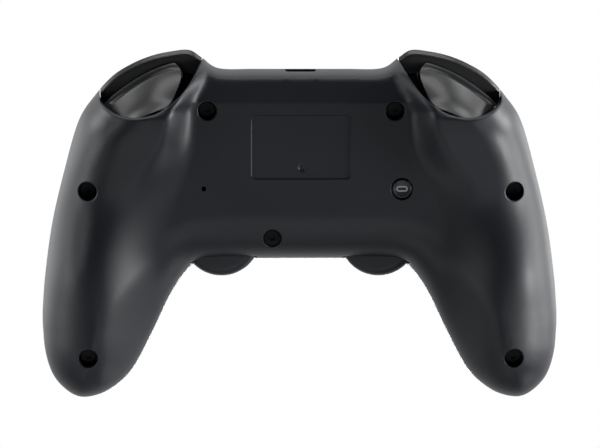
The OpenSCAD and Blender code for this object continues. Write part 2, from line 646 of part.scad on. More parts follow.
// Profile of a cap: thin dome below, narrow stem, dished disc on top
cap_top_z = face_z + cap_h;
dome_low = 2.8;
dome_t = 1.1;
module thumbstick() color([0.08, 0.08, 0.085]) translate([0, 0, pivot_z]) difference() {
    rotate_extrude($fn = 72) polygon(concat(
        [for (a = [asin(dome_low / dome_r):6:62]) dome_r * [cos(a), sin(a)]],
        [[3.6, cap_top_z - pivot_z - 5.2], [cap_d / 2 - 1.2, cap_top_z - pivot_z - 4]],
        [for (a = [-60:30:90]) [cap_d / 2 - 1.2 + 1.2 * cos(a), cap_top_z - pivot_z - 1.6 + 1.6 * sin(a)]],
        [[cap_d / 2 - 2.2, cap_top_z - pivot_z - 0.2], [cap_d / 2 - 4, cap_top_z - pivot_z - 1],
            [0, cap_top_z - pivot_z - 1.5]],
        [[0, dome_r - dome_t]],
        [for (a = [84:-6:asin(dome_low / dome_r)]) (dome_r - dome_t) * [cos(a), sin(a)]]));
    post([0, 0], 0, cap_top_z - pivot_z - 3.9, shaft_r + 0.03);
}
module left_stick_module() at_stick(-1) stick_module();
module right_stick_module() at_stick(1) stick_module();
module left_stick_yoke() at_stick(-1) stick_yoke();
module right_stick_yoke() at_stick(1) stick_yoke();
module left_stick_shaft() at_stick(-1) stick_shaft();
module right_stick_shaft() at_stick(1) stick_shaft();
module left_thumbstick() at_stick(-1) thumbstick();
module right_thumbstick() at_stick(1) thumbstick();

// Direction keys and action buttons: a shaped top, a flange held under the face, a plunger over the mat
group_mid = half_w - group_x;
group_y = top_y - 32;
WAYS = [[0, 1], [0, -1], [-1, 0], [1, 0]];
action_places = [for (w = WAYS) [group_mid, group_y] + button_pitch * w];
key_pitch = button_pitch - 1.5;
key_w = 8.4;
key_places = [for (w = WAYS) [-group_mid, group_y] + key_pitch * w];
flange_z = face_in_z - 0.3;
flange_t = 1.2;
plunger_z = flange_z - flange_t - 0.3;
mat_top_z = plunger_z - button_travel - 0.3;
module action_button(p) color([0.2, 0.2, 0.21]) translate([p[0], p[1], 0]) {
    rotate_extrude() polygon(concat([[0, flange_z - flange_t]], [[button_d / 2 + 0.9, flange_z - flange_t],
        [button_d / 2 + 0.9, flange_z], [button_d / 2, flange_z], [button_d / 2, face_z + button_h - 1]],
        [for (a = [15:25:90]) [button_d / 2 - 1 + cos(a), face_z + button_h - 1 + sin(a)]],
        [[0, face_z + button_h + 0.2]]));
    post([0, 0], plunger_z, flange_z, 2.4);
}
module direction_key(p) color([0.17, 0.17, 0.18]) translate([p[0], p[1], 0]) {
    translate([0, 0, flange_z - e]) linear_extrude(face_z + button_h - flange_z - 0.6)
        round_rect(key_w, key_w, 2);
    translate([0, 0, face_z + button_h - 0.65]) linear_extrude(0.6) round_rect(key_w - 1.2, key_w - 1.2, 1.6);
    translate([0, 0, flange_z - flange_t]) intersection() {
        linear_extrude(flange_t) round_rect(key_w + 1.6, key_w + 1.6, 2.4);
        translate([-p[0] - group_mid, -p[1] + group_y, -1]) key_quarter(p);
    }
    post([0, 0], plunger_z, flange_z, 2.4);
}
// Each key's flange keeps to its own quarter of the cross
module key_quarter(p) {
    w = (p - [-group_mid, group_y]) / key_pitch;
    rotate(atan2(w[1], w[0])) linear_extrude(4) polygon([[0.5, 0], [20, 19.5], [20, -19.5]]);
}
module up_key() direction_key(key_places[0]);
module down_key() direction_key(key_places[1]);
module left_key() direction_key(key_places[2]);
module right_key() direction_key(key_places[3]);
module north_button() action_button(action_places[0]);
module south_button() action_button(action_places[1]);
module west_button() action_button(action_places[2]);
module east_button() action_button(action_places[3]);

// Rubber mats on the board, one hollow bubble under each button
module mat(places, middle) color([0.35, 0.36, 0.38]) difference() {
    union() {
        for (p = places) {
            post(p, board_top_z + 0.05, board_top_z + 1, mat_r);
            translate([p[0], p[1], board_top_z + 0.9])
                cylinder(h = mat_top_z - board_top_z - 0.9, r1 = 4, r2 = 2.6);
        }
        for (p = places) hull() {
            post(p, board_top_z + 0.05, board_top_z + 1, 2);
            post(middle, board_top_z + 0.05, board_top_z + 1, 2);
        }
    }
    for (p = places) translate([p[0], p[1], board_top_z])
        cylinder(h = mat_top_z - board_top_z - 1, r1 = 3.2, r2 = 1.8);
}
module key_mat() mat(key_places, [-group_mid, group_y]);
module button_mat() mat(action_places, [group_mid, group_y]);

// Small buttons, each over a switch on the board
option_w = 3.4;
option_l = 6.4;
option_rim = 0.7;
pad_rim = 1.2;
option_at = [pad_w / 2 + pad_rim + option_w / 2 + option_rim + 2, top_y - 22.5];
home_at = [0, edge_y + 20];
small_travel = 0.8;
switch_h = 2.2;
stem_z = board_top_z + switch_h + small_travel + 0.3;
module option_button() color([0.17, 0.17, 0.18]) translate([option_at[0], option_at[1], 0]) {
    translate([0, 0, flange_z - e]) linear_extrude(face_z + 0.9 - flange_z)
        round_rect(option_w, option_l, option_w / 2 - e);
    translate([0, 0, flange_z - flange_t]) linear_extrude(flange_t)
        round_rect(option_w + 2 * option_rim, option_l + 2 * option_rim, option_w / 2 + option_rim - e);
    post([0, 0], stem_z, flange_z, 1.4);
}
module left_option_button() sided(-1) option_button();
module right_option_button() sided(1) option_button();
module home_button() color([0.17, 0.17, 0.18]) translate([home_at[0], home_at[1], 0]) {
    rotate_extrude() polygon([[0, flange_z - flange_t], [home_d / 2 + 0.9, flange_z - flange_t],
        [home_d / 2 + 0.9, flange_z], [home_d / 2, flange_z], [home_d / 2, face_z + 0.4],
        [home_d / 2 - 0.6, face_z + 0.9], [home_d / 2 - 1.6, face_z + 0.6], [0, face_z + 0.5]]);
    post([0, 0], stem_z, flange_z, 1.4);
}
pad_y = top_y - 10 - pad_d / 2;
module touch_pad() color([0.12, 0.12, 0.13]) translate([0, pad_y, 0]) {
    translate([0, 0, flange_z - e]) linear_extrude(face_z + 0.3 - flange_z) round_rect(pad_w, pad_d, 3);
    translate([0, 0, flange_z - 1]) linear_extrude(1) round_rect(pad_w + 2 * pad_rim, pad_d + 2 * pad_rim, 3);
    post([0, -4], stem_z, flange_z, 2);
}
module tact(p, up) {
    z0 = up ? board_top_z + 0.05 : board_z - 0.05 - switch_h;
    translate([p[0] - 2.6, p[1] - 2.6, up ? z0 : z0 + 0.6]) cube([5.2, 5.2, switch_h - 0.6]);
    post(p, z0, z0 + switch_h, 1.2);
}
module board_switches() color("dimgray") {
    both() tact(option_at, true);
    tact(home_at, true);
    tact([0, pad_y - 4], true);
    tact(rear_button_at, false);
    tact(pinhole, false);
}

// Round button in the rear panel, pressed towards the board
rear_flange_z = panel_in_z + 0.4;
module rear_button() color([0.13, 0.13, 0.14]) {
    difference() {
        post(rear_button_at, panel_z - 0.1, rear_flange_z + 0.5, rear_button_d / 2);
        post(rear_button_at, panel_z - 1, panel_z + 0.1, rear_button_d / 2 - 0.5);
    }
    post(rear_button_at, rear_flange_z, rear_flange_z + 1, rear_button_d / 2 + 1.4);
    post(rear_button_at, rear_flange_z, board_z - 0.05 - switch_h - rear_travel - 0.3, 1.6);
}

// Sockets
usb_z = board_z - 0.15 - usb_h / 2;
usb_l = 7;
module charging_socket() color("silver") translate([0, top_y - 0.6, usb_z]) rotate([90, 0, 0]) {
    difference() {
        linear_extrude(usb_l) round_rect(usb_w, usb_h, 1.3);
        translate([0, 0, -1]) linear_extrude(usb_l - 0.5) round_rect(usb_w - 0.7, usb_h - 0.7, 1);
    }
    translate([0, 0, 1.2]) linear_extrude(usb_l - 1.5) square([usb_w - 2.6, 0.7], center = true);
}
jack_z = part_z + 4.2;
jack_nose_r = 3.1;
jack_y = edge_y + 0.5;
module headset_socket() color([0.07, 0.07, 0.075]) difference() {
    union() {
        rod([0, jack_y, jack_z], [0, jack_y + 6, jack_z], jack_nose_r);
        box(-3.4, 3.4, jack_y + 5.5, jack_y + jack_depth + 1, board_top_z + 0.05, jack_z + 3.2);
    }
    rod([0, jack_y - 1, jack_z], [0, jack_y + jack_depth, jack_z], jack_d / 2);
}

placed() rear_housing();
placed() front_housing();
placed() housing_screws();
placed() left_trigger();
placed() right_trigger();
placed() left_trigger_bracket();
placed() right_trigger_bracket();
placed() trigger_pins();
placed() trigger_springs();
placed() left_bumper();
placed() right_bumper();
placed() bumper_pins();
placed() bumper_switches();
placed() main_board();
placed() battery();
placed() battery_tray();
placed() left_rumble_motor();
placed() right_rumble_motor();
placed() left_rumble_weight();
placed() right_rumble_weight();
placed() left_stick_module();
placed() right_stick_module();
placed() left_stick_yoke();
placed() right_stick_yoke();
placed() left_stick_shaft();
placed() right_stick_shaft();
placed() left_thumbstick();
placed() right_thumbstick();
placed() up_key();
placed() down_key();
placed() left_key();
placed() right_key();
placed() north_button();
placed() south_button();
placed() west_button();
placed() east_button();
placed() key_mat();
placed() button_mat();
placed() left_option_button();
placed() right_option_button();
placed() home_button();
placed() touch_pad();
placed() board_switches();
placed() rear_button();
placed() charging_socket();
placed() headset_socket();
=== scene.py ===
"""Looks of a two-handed gamepad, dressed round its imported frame.

Shapes are worked out in millimetres in the maker's frame, where Y runs from the grip ends to the top edge
and Z up out of the face. CaseForm.world() moves them to metres in the shared frame.
"""

import logging
import math
from dataclasses import dataclass, field
from enum import Enum
from typing import Any, Callable, Dict, List, Optional, Sequence, Tuple, Union

import bpy
import numpy as np
from mathutils import Matrix, Vector
from mathutils.geometry import delaunay_2d_cdt
from mathutils.kdtree import KDTree


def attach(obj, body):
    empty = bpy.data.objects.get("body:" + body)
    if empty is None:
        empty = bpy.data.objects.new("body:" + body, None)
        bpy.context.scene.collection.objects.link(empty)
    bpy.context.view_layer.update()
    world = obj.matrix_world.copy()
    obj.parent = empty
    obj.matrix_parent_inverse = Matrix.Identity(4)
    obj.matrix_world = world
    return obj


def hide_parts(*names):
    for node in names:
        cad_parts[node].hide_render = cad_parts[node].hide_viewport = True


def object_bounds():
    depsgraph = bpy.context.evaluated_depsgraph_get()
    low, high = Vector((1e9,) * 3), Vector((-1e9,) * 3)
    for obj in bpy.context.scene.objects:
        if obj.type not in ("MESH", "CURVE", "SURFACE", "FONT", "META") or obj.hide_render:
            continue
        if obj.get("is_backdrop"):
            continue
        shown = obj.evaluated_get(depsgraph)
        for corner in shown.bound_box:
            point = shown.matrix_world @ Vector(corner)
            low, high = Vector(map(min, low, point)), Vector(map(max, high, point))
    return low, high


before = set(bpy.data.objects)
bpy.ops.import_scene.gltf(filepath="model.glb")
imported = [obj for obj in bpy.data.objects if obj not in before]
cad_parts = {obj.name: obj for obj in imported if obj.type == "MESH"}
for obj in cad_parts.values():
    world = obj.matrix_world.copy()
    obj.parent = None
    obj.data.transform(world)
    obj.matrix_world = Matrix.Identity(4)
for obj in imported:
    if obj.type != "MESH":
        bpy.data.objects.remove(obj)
LOG = logging.getLogger("gamepad")
MM = 0.001
Piece = bpy.types.Object
Height = Callable[[np.ndarray], np.ndarray]


class Side(Enum):
    """Side of the case, as the sign of X."""

    LEFT = -1
    RIGHT = 1

    @property
    def word(self) -> str:
        """Name of the side in node and piece names."""
        return self.name.lower()


def ease(x: np.ndarray, a: float, b: float) -> np.ndarray:
    """Smooth step from 0 at a to 1 at b."""
    t = np.clip((x - a) / (b - a), 0, 1)
    return t * t * (3 - 2 * t)


def quarter(u: np.ndarray) -> np.ndarray:
    """Quarter round from 0 to 1 as u runs from 0 to 1."""
    return np.sqrt(1 - (1 - np.clip(u, 0, 1)) ** 2)


def resample(chain: np.ndarray, step: float, closed: bool) -> np.ndarray:
    """Spaces points evenly along a chain.

    Args:
        chain: points in plan.
        step: wanted distance between points.
        closed: whether the last point joins the first.

    Returns:
        The new points, without a repeat of the first where the chain is closed.
    """
    path = np.vstack([chain, chain[:1]]) if closed else chain
    run = np.concatenate([[0], np.cumsum(np.linalg.norm(np.diff(path, axis=0), axis=1))])
    count = max(3, int(round(run[-1] / step)))
    at = np.linspace(0, run[-1], count + 1)
    points = np.column_stack([np.interp(at, run, path[:, i]) for i in range(path.shape[1])])
    return points[:-1] if closed else points


def bend(a: np.ndarray, b: np.ndarray, c: np.ndarray, d: np.ndarray, t: np.ndarray) -> np.ndarray:
    """Smooth curve from b to c as t runs from 0 to 1, with a before and d after them."""
    return 0.5 * (2 * b + (c - a) * t + (2 * a - 5 * b + 4 * c - d) * t**2 + (3 * b - a - 3 * c + d) * t**3)


def spline(points: Sequence[Sequence[float]], step: float) -> np.ndarray:
    """Smooth open curve through a few points, evenly spaced."""
    p = np.array(points, float)
    p = np.vstack([2 * p[0] - p[1], p, 2 * p[-1] - p[-2]])
    t = np.linspace(0, 1, 24, endpoint=False)[:, None]
    runs = [bend(*four, t) for four in zip(p[:-3], p[1:-2], p[2:-1], p[3:])]
    return resample(np.vstack(runs + [p[-2:-1]]), step, False)


def arc(r: float, z: float, radius: float, start: float, stop: float,
        count: int) -> List[Tuple[float, float]]:
    """Points of an arc in a half section, round a middle at r and z, between two angles in degrees."""
    turns = np.radians(np.linspace(start, stop, count))
    return [(r + radius * math.cos(a), z + radius * math.sin(a)) for a in turns]


def sleeve(bore: float, radius: float, low: float, high: float) -> List[Tuple[float, float]]:
    """Half section of a plain sleeve, as a closed run."""
    return [(bore, low), (radius, low), (radius, high), (bore, high), (bore, low)]


def ring(centre: Sequence[float], radius: float, count: int = 40) -> np.ndarray:
    """Points of a circle in plan."""
    a = np.linspace(0, 2 * math.pi, count, endpoint=False)
    return np.array(centre) + radius * np.column_stack([np.cos(a), np.sin(a)])


def rounded_box(centre: Sequence[float], width: float, depth: float, radius: float,
                step: float) -> np.ndarray:
    """Points of a rectangle with round corners in plan."""
    corners = [(1, 1, 0), (-1, 1, 90), (-1, -1, 180), (1, -1, 270)]
    points = []
    for sx, sy, start in corners:
        for a in np.radians(np.linspace(start, start + 90, 9)):
            points.append([sx * (width / 2 - radius) + radius * math.cos(a),
                           sy * (depth / 2 - radius) + radius * math.sin(a)])
    return resample(np.array(centre) + np.array(points), step, True)


def chain_near(points: np.ndarray, chain: np.ndarray, closed: bool) -> Tuple[np.ndarray, np.ndarray]:
    """Finds how far points are from a chain of straight pieces.

    Args:
        points: points in plan.
        chain: the chain's points.
        closed: whether the last point joins the first.

    Returns:
        Each point's distance, and the index of its nearest piece.
    """
    a = chain if closed else chain[:-1]
    d = (np.roll(chain, -1, 0) if closed else chain[1:]) - a
    far, index = np.empty(len(points)), np.empty(len(points), int)
    for start in range(0, len(points), 800):
        q = points[start:start + 800, None] - a
        t = np.clip((q * d).sum(-1) / np.maximum((d * d).sum(-1), 1e-12), 0, 1)
        gap = np.linalg.norm(q - t[..., None] * d, axis=-1)
        index[start:start + 800] = gap.argmin(1)
        far[start:start + 800] = gap.min(1)
    return far, index


def inside(points: np.ndarray, loops: Sequence[np.ndarray]) -> np.ndarray:
    """Whether points lie within the first loop and outside the others, by counting crossings."""
    odd = np.zeros(len(points), bool)
    for loop in loops:
        a, b = loop, np.roll(loop, -1, 0)
        rise = np.where(a[:, 1] == b[:, 1], 1, b[:, 1] - a[:, 1])
        for start in range(0, len(points), 800):
            p = points[start:start + 800, None]
            spans = (a[:, 1] > p[..., 1]) != (b[:, 1] > p[..., 1])
            x = a[:, 0] + (p[..., 1] - a[:, 1]) * (b[:, 0] - a[:, 0]) / rise
            odd[start:start + 800] ^= ((spans & (p[..., 0] < x)).sum(1) % 2).astype(bool)
    return odd


def splice(loop: np.ndarray, cut: np.ndarray) -> Tuple[np.ndarray, np.ndarray]:
    """Cuts a piece off a closed loop along an open curve that crosses it twice.

    Args:
        loop: the closed loop.
        cut: the open curve, with both ends outside the loop.

    Returns:
        The new loop, and the part of the curve that bounds it.
    """
    r, s = (np.roll(loop, -1, 0) - loop)[:, None], np.diff(cut, axis=0)[None]
    q = cut[None, :-1] - loop[:, None]
    turn = r[..., 0] * s[..., 1] - r[..., 1] * s[..., 0]
    turn = np.where(np.abs(turn) < 1e-12, 1e-12, turn)
    t = (q[..., 0] * s[..., 1] - q[..., 1] * s[..., 0]) / turn
    u = (q[..., 0] * r[..., 1] - q[..., 1] * r[..., 0]) / turn
    i, j = np.nonzero((t >= 0) & (t < 1) & (u >= 0) & (u < 1))
    along = j + u[i, j]
    first, last = along.argmin(), along.argmax()
    ends = [cut[j[k]] + u[i[k], j[k]] * s[0, j[k]] for k in (first, last)]
    edge = np.vstack([ends[0], cut[j[first] + 1:j[last] + 1], ends[1]])
    count = len(loop)
    onward = [(i[last] + 1 + k) % count for k in range((i[first] - i[last]) % count)]
    back = [(i[first] + 1 + k) % count for k in range((i[last] - i[first]) % count)]
    if len(onward) >= len(back):
        return np.vstack([edge, loop[onward]]), edge
    return np.vstack([edge[::-1], loop[back]]), edge


@dataclass(frozen=True)
class CaseForm:
    """Form of the case: its outline in plan and the heights of its underside and face."""

    half_w: float = 80.0
    top_y: float = 101.5
    edge_y: float = 42.5
    origin_y: float = 53.945
    lift: float = 0.1
    part_z: float = 24.0
    panel_z: float = 9.0
    face_h: float = 11.0
    wall: float = 2.2
    seam: float = 0.2
    grip_drop: float = 10.0
    bend: float = 8.5
    back_r: float = 15.0
    face_r: float = 9.0
    band_d: float = 8.8
    band_rise: float = 4.0
    band_soft: float = 0.02
    crease_x: float = 33.0
    crease_lean: float = 6.0
    crease_run: float = 11.0
    crease_out: float = 10.0
    crease_bend: float = 20.0
    grip_round: float = 5.0
    grip_round_l: float = 20.0
    belly: float = 0.195
    waist_z: float = 5.0
    waist_down: float = 39.5
    waist_l: float = 16.0
    pod_low: float = 20.0
    pod_high: float = 9.0
    pod_blend: Tuple[float, float] = (42.0, 12.0)
    sharp_r: float = 2.0
    sharp_down: Tuple[float, float] = (32.0, 14.0)
    sharp_in: float = 6.0
    sharp_out: float = 3.0
    stations: Tuple[Tuple[float, float, float], ...] = (
        (0, 1, 1), (0.175, 1, 1), (0.315, 0.997, 1.002), (0.38, 0.985, 1.034), (0.43, 0.935, 1.058),
        (0.5, 0.75, 1.054), (0.575, 0.465, 1.041), (0.65, 0.21, 1.017), (0.725, 0.078, 0.98),
        (0.795, 0.019, 0.92), (0.86, 0.012, 0.84), (0.918, 0.075, 0.68), (0.963, 0.18, 0.525),
        (0.99, 0.34, 0.37), (1, 0.54, 0.265))

    @property
    def face_z(self) -> float:
        """Height of the flat face."""
        return self.part_z + self.face_h

    def world(self, points: np.ndarray) -> np.ndarray:
        """Moves points from the maker's frame to the shared one, in metres."""
        return (np.asarray(points, float) - [0, self.origin_y, -self.lift]) * MM

    def sections(self, count: int = 560) -> np.ndarray:
        """Lower and upper edge of the right half.

        Args:
            count: number of places between the middle and the side.

        Returns:
            Rows of x, lower y and upper y.
        """
        table = np.array(self.stations)
        table = np.vstack([table[1] * [-1, 1, 1], table, 2 * table[-1] - table[-2]])
        k = np.linspace(0, len(self.stations) - 1, count)
        i = np.minimum(k.astype(int), len(self.stations) - 2)
        t = (k - i)[:, None]
        return bend(*(table[i + n] for n in range(4)), t) * [self.half_w, self.edge_y, self.top_y]

    def half_outline(self) -> np.ndarray:
        """Right half of the outline, from the middle of the lower edge to the middle of the top edge."""
        rows = self.sections()
        return np.vstack([rows[:, [0, 1]], rows[::-1, [0, 2]]])

    def outline(self, step: float) -> np.ndarray:
        """Whole outline as an evenly spaced loop, against the clock."""
        half = self.half_outline()
        return resample(np.vstack([half, (half * [-1, 1])[-2:0:-1]]), step, True)

    def upper_y(self, x: np.ndarray) -> np.ndarray:
        """Upper edge of the case at a given x."""
        rows = self.sections()
        return np.interp(np.abs(x), rows[:, 0], rows[:, 2])

    def edge_distance(self, points: np.ndarray) -> np.ndarray:
        """Distance of points in plan from the outline."""
        right = np.column_stack([np.abs(points[:, 0]), points[:, 1]])
        return chain_near(right, self.half_outline(), False)[0]

    def parting(self, y: np.ndarray) -> np.ndarray:
        """Height of the line where the two housings meet."""
        bend_y = self.edge_y + self.bend
        return self.part_z - self.grip_drop * np.maximum(0, (bend_y - y) / bend_y) ** 1.6

    def underside(self, x: np.ndarray, y: np.ndarray) -> np.ndarray:
        """Height of the underside away from its edges: panel in the middle, grips and pods beside it."""
        lean = np.clip((y - self.top_y + self.crease_run) / self.crease_run, 0, 1)
        out = 1 - ease(y, self.edge_y, self.top_y - self.crease_bend)
        crease = self.crease_x - self.crease_lean * lean + self.crease_out * out
        low, high = (self.top_y - down for down in self.pod_blend)
        width = self.pod_low + (self.pod_high - self.pod_low) * ease(y, low, high)
        share = ease((np.abs(x) - crease) / width, 0, 1)
        slant = (y - self.top_y + self.band_d) / self.band_d
        panel = self.panel_z + self.band_rise * (slant + np.hypot(slant, self.band_soft)) / 2
        pod = self.waist_z * np.exp(-(((y - self.top_y + self.waist_down) / self.waist_l) ** 2)) - self.belly
        return panel + (pod - panel) * share

    def back_radius(self, x: np.ndarray, y: np.ndarray) -> np.ndarray:
        """Edge radius of the underside, small along the middle of the top edge."""
        low, high = (self.top_y - down for down in self.sharp_down)
        share = ease(y, low, high)
        middle = 1 - ease(np.abs(x), self.crease_x - self.sharp_in, self.crease_x + self.sharp_out)
        grip = 1 - ease(y, self.edge_y - self.grip_round_l, self.edge_y)
        return self.back_r + self.grip_round * grip - (self.back_r - self.sharp_r) * share * middle

    def back(self, p: np.ndarray, d: np.ndarray, t: float) -> np.ndarray:
        """Height of the rear housing's skin.

        Args:
            p: points in plan.
            d: their distance from the outline.
            t: depth of the skin below the outer one.

        Returns:
            Heights.
        """
        x, y = p.T
        part = self.parting(y)
        rise = np.maximum(0, part - self.underside(x, y) - t)
        return part - rise * quarter((d - t) / np.maximum(0.8, self.back_radius(x, y) - t)) - self.seam / 2

    def face(self, p: np.ndarray, d: np.ndarray, t: float) -> np.ndarray:
        """Height of the front housing's skin, with the arguments of back()."""
        rise = (self.face_h - t) * quarter((d - t) / (self.face_r - t))
        return self.parting(p[:, 1]) + rise + self.seam / 2


CASE = CaseForm()


class Bench:
    """Working moves on meshes, made with Blender's operators as by hand."""

    @staticmethod
    def pick(*pieces: Piece) -> None:
        """Selects these pieces and nothing else, the first one active."""
        bpy.ops.object.select_all(action="DESELECT")
        for piece in pieces:
            piece.select_set(True)
        bpy.context.view_layer.objects.active = pieces[0]

    @staticmethod
    def edit(piece: Piece) -> None:
        """Opens a piece in edit mode with everything selected."""
        Bench.pick(piece)
        bpy.ops.object.mode_set(mode="EDIT")
        bpy.ops.mesh.select_all(action="SELECT")

    @staticmethod
    def done() -> None:
        """Goes back to object mode."""
        bpy.ops.object.mode_set(mode="OBJECT")

    @staticmethod
    def named(name: str) -> Piece:
        """Gives the newest primitive its name."""
        piece = bpy.context.object
        piece.name = piece.data.name = name
        return piece

    @staticmethod
    def coords(piece: Piece) -> np.ndarray:
        """Vertex places of a piece."""
        flat = np.empty(3 * len(piece.data.vertices))
        piece.data.vertices.foreach_get("co", flat)
        return flat.reshape(-1, 3)

    @staticmethod
    def move(piece: Piece, points: np.ndarray) -> None:
        """Sets the vertex places of a piece."""
        piece.data.vertices.foreach_set("co", np.asarray(points, float).ravel())
        piece.data.update()

    @staticmethod
    def clean(piece: Piece, outward: bool = True, reach: float = 4e-6) -> None:
        """Merges doubles and turns the faces outwards.

        Args:
            piece: the piece to clean.
            outward: whether the normals are worked out anew.
            reach: distance within which points are one.
        """
        Bench.edit(piece)
        bpy.ops.mesh.remove_doubles(threshold=reach)
        if outward:
            bpy.ops.mesh.normals_make_consistent(inside=False)
        Bench.done()

    @staticmethod
    def smooth(piece: Piece, angle: float = 35) -> Piece:
        """Shades a piece smooth, apart from edges sharper than the angle in degrees."""
        Bench.pick(piece)
        bpy.ops.object.shade_smooth_by_angle(angle=math.radians(angle))
        return piece

    @staticmethod
    def modify(piece: Piece, kind: str, **settings: Any) -> None:
        """Adds a modifier with its settings and applies it."""
        Bench.pick(piece)
        modifier = piece.modifiers.new(kind.title(), kind)
        for key, value in settings.items():
            setattr(modifier, key, value)
        bpy.ops.object.modifier_apply(modifier=modifier.name)

    @staticmethod
    def bevel(piece: Piece, width: float, segments: int = 3, angle: float = 40) -> None:
        """Rounds the edges sharper than an angle by a width in millimetres."""
        Bench.modify(piece, "BEVEL", width=width * MM, segments=segments, limit_method="ANGLE",
                     angle_limit=math.radians(angle), use_clamp_overlap=True)

    @staticmethod
    def join(name: str, pieces: Sequence[Piece]) -> Piece:
        """Joins pieces into one with this name."""
        Bench.pick(*pieces)
        if len(pieces) > 1:
            bpy.ops.object.join()
        return Bench.named(name)

    @staticmethod
    def mirror(piece: Piece) -> None:
        """Turns a piece into its mirror image across the middle of the case."""
        Bench.move(piece, Bench.coords(piece) * [-1, 1, 1])
        Bench.edit(piece)
        bpy.ops.mesh.flip_normals()
        Bench.done()

    @staticmethod
    def stem(place: Sequence[float], radius: float, low: float, top: float, steps: int) -> Piece:
        """Turns an upright stem with a softened lower edge."""
        soft = 0.2
        run = [(0, low), (radius - soft, low), (radius, low + soft), (radius, top), (0, top)]
        return Bench.turned("stem", run, place, steps)

    @staticmethod
    def turned(name: str, profile: Sequence[Sequence[float]], centre: Sequence[float],
               steps: int = 64) -> Piece:
        """Spins a profile round an upright line.

        Args:
            name: name of the piece.
            profile: radius and height of each point, as a closed run that starts and ends on the same point
                or on the axis.
            centre: plan place of the axis.
            steps: pieces of the full turn.

        Returns:
            The closed piece, in place.
        """
        points = CASE.world([(centre[0] + r, centre[1], z) for r, z in profile])
        bpy.ops.object.select_all(action="DESELECT")
        bpy.ops.mesh.primitive_plane_add(size=MM)
        piece = Bench.named(name)
        piece.data.clear_geometry()
        piece.data.from_pydata(points.tolist(), [(i, i + 1) for i in range(len(points) - 1)], [])
        Bench.put_to_origin(piece)
        Bench.edit(piece)
        axis = CASE.world([(centre[0], centre[1], 0)])[0]
        bpy.ops.mesh.spin(steps=steps, angle=2 * math.pi, center=axis.tolist(), axis=(0, 0, 1))
        Bench.done()
        Bench.clean(piece)
        return piece

    @staticmethod
    def put_to_origin(piece: Piece) -> None:
        """Puts a piece's place into its mesh."""
        Bench.pick(piece)
        bpy.ops.object.transform_apply(location=True, rotation=True, scale=True)

    @staticmethod
    def block(name: str, low: Sequence[float], high: Sequence[float]) -> Piece:
        """Adds a cube that fills the box between two corners in the maker's frame."""
        a, b = CASE.world([low, high])
        bpy.ops.object.select_all(action="DESELECT")
        bpy.ops.mesh.primitive_cube_add(size=1, location=((a + b) / 2).tolist())
        piece = Bench.named(name)
        piece.scale = (b - a).tolist()
        Bench.put_to_origin(piece)
        return piece

    @staticmethod
    def prism(name: str, plan: np.ndarray, low: float, high: float) -> Piece:
        """Raises a closed plan into a solid.

        Args:
            name: name of the piece.
            plan: points of the plan, against the clock.
            low: height of its floor.
            high: height of its top.

        Returns:
            The closed piece.
        """
        bpy.ops.object.select_all(action="DESELECT")
        bpy.ops.mesh.primitive_circle_add(vertices=len(plan), radius=MM, fill_type="NGON")
        piece = Bench.named(name)
        Bench.put_to_origin(piece)
        Bench.move(piece, CASE.world(np.column_stack([plan, np.full(len(plan), low)])))
        Bench.edit(piece)
        bpy.ops.mesh.extrude_region_move(TRANSFORM_OT_translate={"value": (0, 0, (high - low) * MM)})
        Bench.done()
        Bench.clean(piece)
        return piece


@dataclass
class Mouth:
    """Rounded edge of an opening.

    Fields:
        chain: points of the edge in plan.
        closed: whether the last point joins the first.
        radius: rounding, for the whole chain or at each of its points.
        flat: how much of a broad rounding is a flat chamfer instead, from 0 to 1.
        soft: start and softness of that chamfer.
        slope: half of the chamfer's slope.
    """

    chain: np.ndarray
    closed: bool
    radius: Union[float, np.ndarray]
    flat: float = 0.0
    soft: Tuple[float, float] = (0.25, 0.12)
    slope: float = 0.4

    def drop(self, points: np.ndarray) -> np.ndarray:
        """How far the rounding takes the skin in at these points."""
        far, index = chain_near(points, self.chain, self.closed)
        r = np.broadcast_to(self.radius, len(self.chain))[index]
        s = np.clip(r - far, 0, r)
        round_drop = r - np.sqrt(np.maximum(r * r - s * s, 0))
        past = s - self.soft[0]
        flat_drop = (past + np.hypot(past, self.soft[1])) * self.slope
        return round_drop + self.flat * np.clip(r - 1, 0, 1) * (flat_drop - round_drop)

    def rings(self) -> np.ndarray:
        """Points beside the chain, on both sides, close enough to draw the rounding."""
        ahead, behind = np.roll(self.chain, -1, 0), np.roll(self.chain, 1, 0)
        if not self.closed:
            ahead[-1], behind[0] = self.chain[-1], self.chain[0]
        g = ahead - behind
        normal = np.column_stack([-g[:, 1], g[:, 0]]) / np.maximum(np.linalg.norm(g, axis=1), 1e-9)[:, None]
        r = np.broadcast_to(self.radius, len(self.chain))[:, None]
        steps = [1 - math.cos(math.radians(a)) for a in (24, 46, 68, 90)] + [1.5]
        return np.vstack([self.chain + side * normal * r * s for s in steps for side in (1, -1)])


